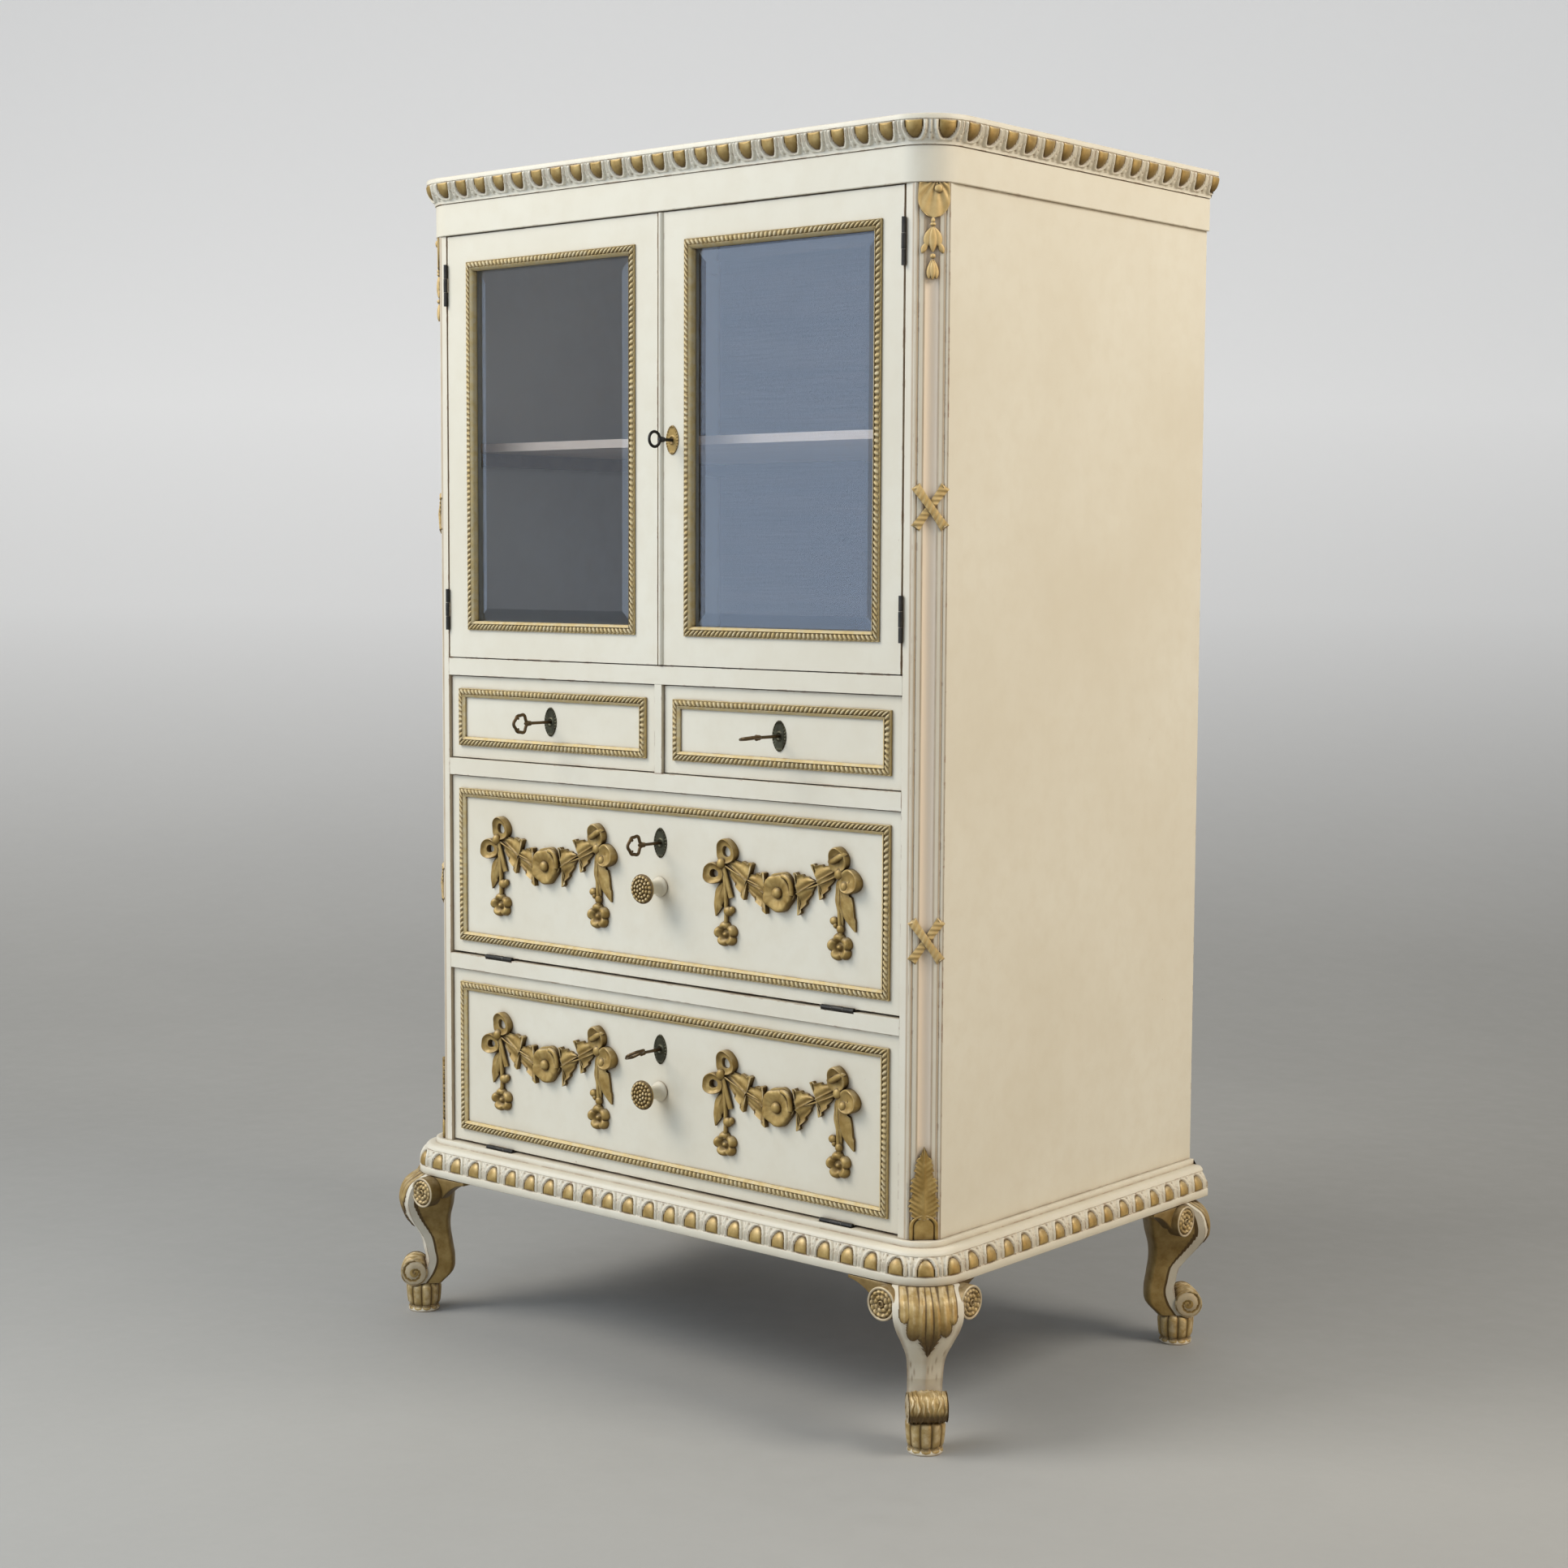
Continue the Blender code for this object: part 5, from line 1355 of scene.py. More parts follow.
@dataclass
class PostOrnament:
    """Gilded carving on a post's canted face: shield, husk and bud, crossed ribbons, leaf and plinth.

    Attributes:
        beads: Middle and half sizes of the bosses under the top, in millimetres.
        petals: Base, tip, half width, height and widest place of the petals on the middle line.
        pairs: The same of the petals that stand on both sides of it.
    """

    side: str
    sign: int
    top: float = FRIEZE_LOW
    foot: float = BASE_HIGH + 0.0003
    crossings: Pair = (0.369, 0.874)
    beads: Rows = (
        ((6, -7.5, 3.0), (5.2, 5.2, 3.4)), ((0, -43, 2.0), (2.4, 3.6, 2.8)),
        ((0, -47.5, 2.0), (3.4, 2.6, 2.8)), ((0, -83.5, 2.0), (3.2, 3.2, 3.0)),
    )
    petals: Rows = (
        ((0, -50), (0, -79), 5.2, 4.4, 0.5), ((0, -87), (0, -110), 4.0, 4.2, 0.55),
    )
    pairs: Rows = (
        ((1, -50), (7.5, -73), 5.8, 3.0, 0.55), ((6, -66), (12.5, -80), 3.4, 2.4, 0.6),
        ((4.4 / 3, -87), (4.4, -109), 3.7, 3.0, 0.6),
    )

    def seat(self, height: float) -> Seat:
        """Place on the middle of the canted face at a height.

        Args:
            height: Up from the floor.

        Returns:
            The seat.
        """
        half = math.sqrt(0.5)
        return Seat(
            (self.sign * CANT_MIDDLE[0], FRONT_Y + CANT_MIDDLE[1], height),
            (half, self.sign * half, 0.0),
            (0.0, 0.0, 1.0),
            (self.sign * half, -half, 0.0),
        )

    @staticmethod
    def petal(base: Pair, tip: Pair, half: float, high: float, full: float) -> Surface:
        """Plain rounded petal from base to tip, widest at the given share of its length.

        Args:
            base: Place of the base.
            tip: Place of the tip.
            half: Half width.
            high: Height above its edge.
            full: Share of the length where it is widest.

        Returns:
            The petal.
        """
        a, b = sheet(18, 11)
        bow = np.sin(math.pi * np.clip(a, 0.02, 0.985) ** (math.log(0.5) / math.log(full))) ** 0.65
        height = 0.9 + high * np.sqrt(held(1 - 0.85 * b**2)) * (0.45 + 0.55 * bow)
        return blade(a * math.dist(base, tip), b * half * bow, height, base, bearing(base, tip))

    @staticmethod
    def shield() -> Surface:
        """Shell-shaped shield: straight sides into a round foot, with folds that fan from the flower.

        Returns:
            The shield.
        """
        a, b = sheet(30, 41, 0.005)
        wide = 19.0 * np.sqrt(np.clip(1 - held((a - 0.42) / 0.585) ** 2, 0.003, 1))
        wide = wide * (1 - 0.10 * (1 - a) ** 3)
        x, z = b * wide + 1.0, a * 40.0
        fan = np.arctan2(x - 4.0, z + 6.0)
        rim = hill((1 - np.abs(b)) / 0.10)
        height = 1.8 + 1.3 * np.sqrt(held(1 - b**2)) + 0.8 * np.cos(fan * 15) * (1 - rim) + 0.7 * rim
        return blade(z, x, height, (0, 0), -90)

    @staticmethod
    def ribbon(way: float, lift: float) -> Surface:
        """Flat ribbon with notched, flared ends, twisted stripes across it and a bend over its fellow.

        Args:
            way: Direction in degrees.
            lift: Height of its middle above the face.

        Returns:
            The ribbon.
        """
        a, b = sheet(44, 11)
        out = 2 * np.abs(a - 0.5)
        wide = 4.5 + 1.3 * out**2
        along = 60.0 * a - 3.2 * (1 - np.abs(b)) * (2 * a - 1) * (out > 0.985)
        height = 1.2 + 1.1 * np.cos(b * 1.3) + lift * (1 - out) + 0.6 * np.cos(55 * a + 3 * b)
        cos, sin = heading(way)
        return blade(along, b * wide, height, (-30.0 * cos, -30.0 * sin), way)

    @staticmethod
    def foot_leaf() -> Surface:
        """Standing acanthus: toothed lobes in three tiers up to a point, with veins and a midrib.

        Returns:
            The leaf.
        """
        a, b = sheet(80, 25)
        rise = 24 + 87 * a
        marks = (24, 30, 36, 49, 51, 58, 61, 72, 74, 82, 86, 97, 99, 111)
        widths = (15, 17.5, 19.0, 18.4, 15.0, 17.5, 17.6, 16.4, 11.5, 12.6, 12.2, 9.2, 6.0, 0.4)
        wide = np.interp(rise, marks, widths)
        fine = 1 - 0.24 * saw(rise / 6.2) * np.abs(b) ** 3
        vein = 0.75 * np.cos(TAU * (rise / 6.2 - 1.2 * np.abs(b))) * np.abs(b)
        height = 1.2 + 2.6 * np.cos(b * 1.25) ** 0.7 + vein + 0.8 * hill(b / 0.1) + 0.6 * np.abs(b) ** 4
        droop = 3.0 * np.abs(b) ** 1.5 * (1 - a)
        return blade(rise + droop, b * wide * fine, height, (0, 0), 90)

    @staticmethod
    def plinth() -> Surface:
        """Round-headed plinth: a raised moulding round an arch and a pillowed panel inside it.

        Returns:
            The plinth.
        """
        a, b = sheet(44, 45)
        z = 0.4 + 29.6 * a
        wide = 17.2 * np.sqrt(np.clip(1 - held((z - 15.5) / 14.7) ** 2, 0.003, 1))
        x = b * wide
        ratio = np.sqrt((x / 17.2) ** 2 + (np.clip(z - 15.5, 0, None) / 14.7) ** 2)
        ring = 2.2 * np.sqrt(held(1 - ((ratio - 0.87) / 0.13) ** 2))
        panel = 1.7 * held((0.70 - ratio) / 0.06) ** 0.6
        return blade(z, x, 2.0 + np.maximum(ring, panel), (0, 0), 90)

    def upper(self) -> Surface:
        """Shield, husk and bud under the frieze, and the crossed ribbons.

        Returns:
            The carving in the cabinet's frame.
        """
        top = [self.shield()] + [boss(*bead) for bead in self.beads]
        top += [self.petal(*petal) for petal in self.petals]
        for (x, z), (tip_x, tip_z), *rest in self.pairs:
            top += [self.petal((sign * x, z), (sign * tip_x, tip_z), *rest) for sign in (-1, 1)]
        parts = [self.seat(self.top).laid(together(top))]
        for drop in self.crossings:
            cross = together([self.ribbon(54.0, 0.6), self.ribbon(126.0, 2.4)])
            parts.append(self.seat(self.top - drop).laid(cross))
        return together(parts)

    def lower(self) -> Surface:
        """Standing leaf on its plinth at the foot."""
        return self.seat(self.foot).laid(together([self.foot_leaf(), self.plinth()]))

    def dress(self) -> None:
        """Adds the carving to the post."""
        add_piece(f"post_{self.side}_carving", self.upper(), WARM, "cabinet", (), 50.0)
        add_piece(f"post_{self.side}_foot_leaf", self.lower(), GILDING, "cabinet", (), 50.0)


@dataclass
class Leg:
    """Carved cabriole leg: acanthus knee, rosette ears, wings, plain ankle, ridged scroll and fluted pad.

    Drawn in millimetres with u outwards along the diagonal, w across and z up from the floor.

    Attributes:
        edge: How far the base's edge stands out from the leg's frame, square to that edge.
        shy: Side whose wing stands further back, or 0 for none.
        lobes: Place of each leaf lobe at its top and tip, half width, length, lift and number of ridges.
        chips: Drop and place across the front of each chip on the ankle.
        dull: Share of darkening on the gold of the flanks.
        stations: Drop, outer u, inner u and width of the sections down the leg.
        scroll: Place along u and z, radius and width of the scroll.
        ear: Place along u and w, radius and thickness of the rosettes.
    """

    node: str
    place: Pair
    outwards: Pair
    edge: float
    knee: float
    shy: int = 0
    foot_reach: float = 42.0
    tall: float = 198.0
    crown: float = 0.14
    depth: float = 4.4
    stations: Table = (
        (0, 50, -8, 80), (14, 69, -5, 84), (32, 76, -2, 84), (48, 74.5, 0, 76), (66, 67, 4, 60),
        (84, 55.5, 4.3, 47.5), (104, 44.8, 1.3, 43.3), (124, 39.3, -1.5, 42), (142, 46, 0.5, 41),
        (158, 54, 15, 40),
    )
    lobes: Table = (
        (-28.5, -29.5, 6.4, 37, 0.0, 1), (28.5, 28.5, 6.0, 40, 0.0, 1), (-17.5, -19.0, 8.4, 59, 0.4, 1),
        (17.5, 20.0, 8.4, 55, 0.4, 1), (0.0, 0.0, 14.8, 82, 0.9, 3),
    )
    chips: tuple[Pair, ...] = (
        (101, 0.12), (99, 0.34), (88, 0.50), (104, -0.62), (112, -0.74), (111, 0.62), (94, -0.80), (78, 0.82),
    )
    dull: float = 0.22
    scroll: Four = (54.0, 57.0, 19.0, 47.5)
    ear: Four = (42.5, 55.0, 20.5, 18.0)
    wing_back: Pair = (9.0, 24.0)

    def smooth_stations(self, count: int) -> Array:
        """Catmull-Rom curve through the stations.

        Args:
            count: Rows wanted.

        Returns:
            Drop, outer u, inner u and width in each row.
        """
        given = np.array(self.stations, float)
        place = np.linspace(0, len(given) - 1, count)
        row = np.minimum(place.astype(int), len(given) - 2)
        t = (place - row)[:, None]
        padded = np.vstack([2 * given[0] - given[1], given, 2 * given[-1] - given[-2]])
        p0, p1, p2, p3 = (padded[row + k] for k in range(4))
        cubic = (2 * p0 - 5 * p1 + 4 * p2 - p3) * t**2 + (3 * p1 - p0 - 3 * p2 + p3) * t**3
        return 0.5 * (2 * p1 + (p2 - p0) * t + cubic)

    def acanthus(self, drop: Array, w: Array) -> tuple[Array, ...]:
        """Leaf on the knee: round-ended fingers either side of a toothed tongue, with ridges, painted
        highlight on the upper ridges, and painted shade in the valleys and on the lower, down-facing tips.

        A lobe widens from its top to a belly and closes at its tip, in a half round for a finger and in a
        toothed point for the tongue. It rises quickly from its edge, is rippled by its ridges and curls up at
        its tip. The highest lobe shows. The cream beside the lower part of the leaf is darker near its edges.

        Args:
            drop: Below the base, in a column.
            w: Across the leg, rows by columns.

        Returns:
            Height in millimetres, share of gold and share of darkening, mostly painted shade.
        """
        # Painted shade on the dark ground between the lobes near the top.
        hull = 33.0 * (1 - held(drop / 46) ** 2.2) - np.abs(w)
        gilt = (hull > 0) * 1.0
        glaze_and_shade = gilt * 0.85
        height = 0.5 * held(hull / 2)
        nearest = hull
        for start, end, half, tip, lift, ridges in self.lobes:
            t = held(drop / tip)
            belly = 0.68 + 0.32 * np.sin(math.pi / 2 * held(t / 0.66))
            if ridges == 1:
                close = np.sqrt(np.clip(1 - held((t - 0.74) / 0.26) ** 2, 0.0005, 1))
                tooth = 1.0
            else:
                close = np.clip(1 - held((t - 0.66) / 0.34) ** 1.25, 0.002, 1)
                tooth = 1 - 0.30 * saw(drop / 7.6) * held(t * 3.0 - 1.5)
            spread = half * belly * close * tooth
            x = (w - (start + (end - start) * t**1.5)) / spread
            inside = np.where(drop < tip, (1 - np.abs(x)) * spread, -np.hypot(drop - tip, w - end))
            wave = np.cos(math.pi * ridges * x) + 0.20 * np.cos(3 * math.pi * ridges * x)
            body = 1.2 + 0.75 * wave + 1.0 * hill((t - 0.85) / 0.12) + lift
            lobe = 0.5 + body * held(inside / 1.6) ** 0.6
            # Painted shade at the lobe edges, in the valleys between ridges, and on the lower lobes that face
            # down.
            dark = np.maximum(hill(inside / 1.0), held(-wave) ** 1.2 * 0.90)
            dark = np.maximum(dark, 0.88 * held((drop - 32) / 28))
            above = (inside > 0) & (lobe >= height)
            height = np.where(above, lobe, height)
            # Ridge crests near the top are paler, by wear and painted highlight.
            gilt = np.where(above, 1.0 + held(wave) ** 3 * held(1 - drop / 52), gilt)
            glaze_and_shade = np.where(above, dark, glaze_and_shade)
            nearest = np.maximum(nearest, inside)
        # The cream next to the lower leaf edges is darker.
        beside_leaf_dark = 0.5 * hill(nearest / 4.5) * held((drop - 25) / 15)
        return np.minimum(height, self.depth), gilt, np.where(gilt > 0, glaze_and_shade, beside_leaf_dark)

    def shaft(self) -> Surface:
        """Knee and ankle: sections with a crowned front, flat flanks and a rounded back, down the curve.

        The front falls off from its crown with the square of the way to its edges, nearer to a plain ridge on
        the ankle, and stands back by the leaf's depth where the leaf is.

        Returns:
            The shaft, with gold on the leaf, dull gold on the flanks, painted shade in the leaf's hollows and
            in the crease above the scroll, darker front edges and flank lines, and chips below.
        """
        drop, outer, inner, width = self.smooth_stations(150).T[:, :, None]
        outer = outer + self.knee * held((92 - drop) / 44)
        front = row_of(-1, 1, 121)
        height, gilt, glaze_and_shade = self.acanthus(drop, width / 2 * front)
        chips = sum(
            np.exp(-(((drop - low) / 4.5) ** 2) - ((front - at) / 0.045) ** 2) for low, at in self.chips
        )
        # Darker towards the edges of the front below the leaf.
        border = 0.10 + 0.75 * held((np.abs(front) - 0.82) / 0.12) * held((drop - 30) / 20)
        # Painted shade in the crease where the ankle meets the scroll; the chips are real wear.
        glaze_and_shade = held(np.maximum(glaze_and_shade, border) + 1.1 * chips + 0.9 * hill((drop - 134) / 4))
        ground = outer - self.depth * held((112 - drop) / 20)
        power = 2.0 - 0.85 * held((drop - 72) / 26)
        face_u = ground - self.crown * width * np.abs(front) ** power + height
        run = np.linspace(0, 1, 40)[None, 1:]
        edge_u, back_u, back_w = ground - self.crown * width, inner + 6.0, 0.8 * width / 2
        flank_u = edge_u + (back_u - edge_u) * run
        flank_w = width / 2 + (back_w - width / 2) * run
        turn = np.linspace(0, math.pi, 13)[None, 1:-1]
        rear_u, rear_w = inner + 6.0 * (1 - np.sin(turn)), back_w * np.cos(turn)
        u = joined(face_u, flank_u, rear_u, flank_u[:, ::-1])
        w = joined(width / 2 * front, flank_w, rear_w, -flank_w[:, ::-1])
        plain = np.ones_like(drop)
        band = 0.13 + 0.22 * held((drop - 40) / 50)
        side = np.where(run < band, 0.30, np.where(run < band + 0.09, 0.92, self.dull))
        brown = [glaze_and_shade, side, plain * self.dull * np.ones_like(turn), side[:, ::-1]]
        flank = (run >= band) * plain
        gilt = joined(gilt, flank, plain * np.ones_like(turn), flank[:, ::-1])
        return grid(xyz(u, w, self.tall - drop), gilt, joined(*brown))

    def scroll_roll(self) -> Surface:
        """Scroll under the ankle: a roll across the leg with ridges round it and a volute on each end.

        Rows run from the middle of one end over the roll to the other end. The ends dome out, with a groove
        that winds inwards as the angle goes round. The underside, the valleys between the ridges and the
        grooves have painted shade, and the ridge tops a painted highlight.

        Returns:
            The roll.
        """
        u, z, radius, wide = self.scroll
        turn = turns(84)[None, :]
        r = column_of(0.02, 0.97, 16)
        winding = saw(r * 1.5 - turn / TAU)
        bulge = 1.2 * np.sin(math.pi * winding) ** 0.7 + 2.0 * (1 - r**1.5)
        across = column_of(-1, 1, 97)
        wander = 0.05 * np.sin(3 * turn + 5 * across) + 0.03 * np.sin(7 * turn - 9 * across)
        place = across + wander
        ridges = np.abs(np.cos(math.pi * 3.5 * place)) ** 0.7 + 0.3 * np.cos(TAU * 7.3 * place)
        eased = radius * (0.92 + 0.02 * (1 - across**6)) + 1.3 * ridges * (1 - across**8)
        eased = eased * (1 - 0.06 * across**2)
        spread = [-(wide / 2 - 1.6 + bulge), wide / 2 * across + 0 * turn, (wide / 2 - 1.6 + bulge)[::-1]]
        reach = [radius * r + 0 * turn, eased + 0 * turn, (radius * r + 0 * turn)[::-1]]
        w, r_all = np.concatenate(spread), np.concatenate(reach)
        # Painted shade on the underside of the roll.
        under = 0.9 * held((0.05 - np.sin(turn)) / 0.4)
        groove = np.maximum(hill(winding / 0.17), hill(r / 0.16))
        # Painted shade in the volute grooves and between the ridges.
        dark = np.concatenate([groove, np.maximum(held(1 - ridges / 0.55), under), groove[::-1]]) * 0.85
        glaze_and_shade = np.maximum(dark, 0.12)
        ends = -0.47 * held((r - 0.2) * 8) * (groove < 0.35)
        # Painted highlight on the ridge tops, except underneath.
        gilt = 1 + np.concatenate([ends, held(ridges) ** 3 * (1 - under), ends[::-1]])
        return grid(xyz(u + r_all * np.cos(turn), w, z + r_all * np.sin(turn)), gilt, glaze_and_shade)

    def pad(self) -> Surface:
        """Pad foot: a turned form with ten toes round its body and a plain worn rim on the floor, with
        painted shade between the toes and in the waist, and toe crests paler by wear and painted highlight.

        Returns:
            The pad.
        """
        turn = turns(140)[None, :]
        z = np.array([42, 40, 37, 34, 30, 25, 20, 16, 12.5, 10, 8.6, 7.2, 5, 2.5, 1, 0])[:, None]
        r = np.array([14, 19, 21.7, 22.5, 22.5, 22.2, 21.8, 21.4, 21.0, 20.0, 18.6, 18.7, 19.7, 19.9, 19.7,
                      19.0])
        strength = held((z - 2) / 8) * held((44 - z) / 5)
        toe = np.abs(np.cos(5 * turn + 0.4)) ** 0.55
        radius = 1.08 * r[:, None] + strength * (3.0 * toe - 3.0)
        # Toe crests paler by wear and painted highlight; painted shade between the toes and in the crease of
        # the waist.
        gilt = held((z - 5.5 + 3.5 * toe) / 2) * (1 + 0.8 * toe**3)
        glaze_and_shade = np.maximum(strength * held(1.2 - toe / 0.6), hill((z - 7.6) / 1.4) * 0.8)
        return disc((self.foot_reach, 0.0), radius, z, gilt, glaze_and_shade)

    def sided(self, side: int) -> Array:
        """Directions along the base's edge away from the leg, square out from that edge, and up."""
        half = math.sqrt(0.5)
        return np.array([(-half, side * half, 0.0), (half, side * half, 0.0), (0.0, 0.0, 1.0)])

    def ears(self) -> Surface:
        """Rosettes at the sides of the knee: a worn rim round fourteen beads, eight petals and a pearl, with
        painted shade in the gaps and grooves and on the side wall.

        Returns:
            Both rosettes.
        """
        u, w, radius, thick = self.ear
        turn = turns(112)[None, :]
        r = np.array([0.1, 1.8, 3.2, 4.0, 4.6, 6, 8, 9.6, 10.6, 11.2, 12, 13, 14, 15, 16, 16.8, 17.4, 18.4,
                      19.6, 20.3, 20.5, 20.5])[:, None]
        rise = np.array([-1.8, -1.4, 1.2, 0.6, -1.0, 0.6, 1.2, 0.6, -0.8, -1.4, -0.6, 0.7, 1.2, 0.9, -0.4,
                         -1.2, -0.7, 0.1, 0.0, -0.7, -2.0, -thick])[:, None]
        petal = np.abs(np.sin(4 * turn + 0.08 * r)) ** 0.6
        bead = np.abs(np.sin(7 * turn + 0.12 * r)) ** 0.6
        inner, outer = (r > 4.2) & (r < 10.8), (r > 11.4) & (r < 17)
        gap = (1 - petal) * inner + (1 - bead) * outer
        height = rise - 1.6 * gap
        lines = (r < 2.4) + hill((r - 4.4) / 0.5) + hill((r - 11.0) / 0.6)
        # Painted shade in the gaps between petals and beads, in the grooves and on the side wall.
        glaze_and_shade = 0.62 * held(lines + hill((r - 16.9) / 0.6) + 0.9 * gap)
        gilt = np.where(r < 17.0, 1.5, 0.52) + 0 * turn
        gilt[-2:], glaze_and_shade[-2:] = 1.0, 0.55
        parts = []
        for side in (-1, 1):
            along, out, up = self.sided(side)
            flat = r[..., None] * (np.cos(turn)[..., None] * along + np.sin(turn)[..., None] * up)
            middle = np.array([u, side * w, self.tall - radius - 0.3])
            parts.append(grid(middle + flat + height[..., None] * out - 1.3 * out, gilt, glaze_and_shade))
        return together(parts)

    def wings(self) -> Surface:
        """Wings under the base: eased slabs, full height at the leg, hollow below towards a thin end,
        darkened by painted shade.

        Returns:
            Both wings.
        """
        u, w = self.ear[:2]
        middle = (w - u) * math.sqrt(0.5)
        run = column_of(-15, 64, 40)
        turn = turns(44)[None, :]
        tall = 4.0 + 25.0 * (1 - held((run - 20) / 50)) ** 2
        cos, sin = (np.sign(wave(turn)) * np.abs(wave(turn)) ** 0.28 for wave in (np.cos, np.sin))
        up = self.tall - 0.4 - tall / 2 + tall / 2 * sin
        parts = []
        for side in (-1, 1):
            out = self.edge - self.wing_back[side == self.shy] + 8.0 * cos + 0 * run
            local = xyz(middle + run, out, up)
            # Painted shade under the base, darker on the wing that stands further back.
            parts.append(grid(local @ self.sided(side), 1.0, 0.80 if side == self.shy else 0.50))
        return together(parts)

    def build(self) -> Surface:
        """All parts of the leg, turned onto its diagonal.

        Returns:
            The leg in the cabinet's frame.
        """
        shape = together([self.shaft(), self.scroll_roll(), self.pad(), self.ears(), self.wings()])
        u, w, z = shape.points.T
        u = (u - self.foot_reach) * MM
        dx, dy = self.outwards
        x = self.place[0] + u * dx - w * MM * dy
        y = self.place[1] + u * dy + w * MM * dx
        return Surface(xyz(x, y, z * MM), shape.faces, shape.gilt, shape.glaze_and_shade)

    def dress(self) -> None:
        """Adds the leg in place of its node."""
        add_piece(f"{self.node}_carved", self.build(), PARCEL, "cabinet", (self.node,), 48.0)


@dataclass
class Escutcheon:
    """Pointed oval keyhole plate with a beaded rim."""

    name: str
    body: str
    place: Triple
    size: Pair
    finish: Finish

    def dress(self) -> None:
        """Adds the plate: a lens outline, raised to a beaded rim round a sunk field and a collar."""
        wide, tall = self.size
        a, b = sheet(60, 41)
        half = wide / 2 * np.sin(math.pi * np.clip(a, 0.012, 0.988)) ** 0.52
        x, z = b * half, tall * (a - 0.5)
        ratio = np.maximum(np.abs(b), np.abs(2 * a - 1) ** 1.6)
        around = np.arctan2(z, x * tall / wide)
        rim = hill((ratio - 0.86) / 0.11) * (0.9 + 0.7 * np.cos(26 * around))
        collar = 1.1 * hill((np.hypot(x, z) - 4.6) / 1.0)
        plate = blade(z + tall / 2, x, 0.9 + 0.9 * rim + collar, (0, -tall / 2), 90, -0.1)
        add_piece(self.name, Seat(self.place).laid(plate), self.finish, self.body, (), 50.0)


class Bow(Enum):
    """Forms of a key's bow."""

    TREFOIL = "trefoil"
    RING = "ring"


@dataclass
class Key:
    """Key in its lock: collared stem and pierced bow.

    Attributes:
        reach: How far the key stands out, in millimetres.
        turn: Degrees that the bow is turned from upright.
    """

    lock: str
    place: Triple
    reach: float
    turn: float
    bow: Bow
    finish: Finish
    tip: float = 8.5

    def bow_shape(self) -> list[Surface]:
        """Bow: three round lobes on a neck with scrolls between them, or an oval ring.

        Returns:
            The parts of the bow.
        """
        turn = turns(96)
        if self.bow is Bow.RING:
            path = xyz(0 * turn, 9.2 * np.cos(turn), self.reach - 11.4 + 9.6 * np.sin(turn))
            return [bar(path, 1.9, 1.7, ring=True, lean=(1.0, 0.0, 0.0))]
        radius = 11.0 + 0.6 * np.cos(3 * (turn - math.pi / 2)) + 0.6 * np.cos(6 * (turn - math.pi / 2))
        middle = self.reach - 15.2
        path = xyz(0 * turn, 1.05 * radius * np.cos(turn), middle + radius * np.sin(turn))
        parts = [bar(path, 2.2, 1.9, ring=True, lean=(1.0, 0.0, 0.0))]
        for way in (30, 150, 270):
            cos, sin = heading(way)
            parts.append(boss((0.0, 8.2 * cos, middle + 8.2 * sin), (1.3, 1.9, 1.9), 7, 10))
        return parts

    def build(self) -> Surface:
        """Turned stem with collars, and the bow in the plane of the key.

        Returns:
            The key in the cabinet's frame.
        """
        root = self.reach - (24.8 if self.bow is Bow.TREFOIL else 20.0)
        out = np.array([-self.tip, 0.4, 2.0, root - 9, root - 8, root - 6.5, root - 5.5, root - 4.5,
                        root - 3.2, root - 2.2, root - 1, root + 1.5])[:, None]
        radius = np.array([2.0, 2.0, 2.0, 2.0, 3.2, 3.4, 2.3, 2.4, 3.8, 3.8, 2.4, 1.9])[:, None]
        shape = together([disc((0.0, 0.0), np.repeat(radius, 20, axis=1), out), *self.bow_shape()])
        cos, sin = heading(self.turn)
        return Seat(self.place, (cos, 0.0, -sin), (sin, 0.0, cos)).laid(shape)

    def dress(self) -> None:
        """Adds the key in place of its node."""
        node = f"key_{self.lock}"
        add_piece(f"{node}_cut", self.build(), self.finish, f"key_turning_{self.lock}", (node,), 45.0)


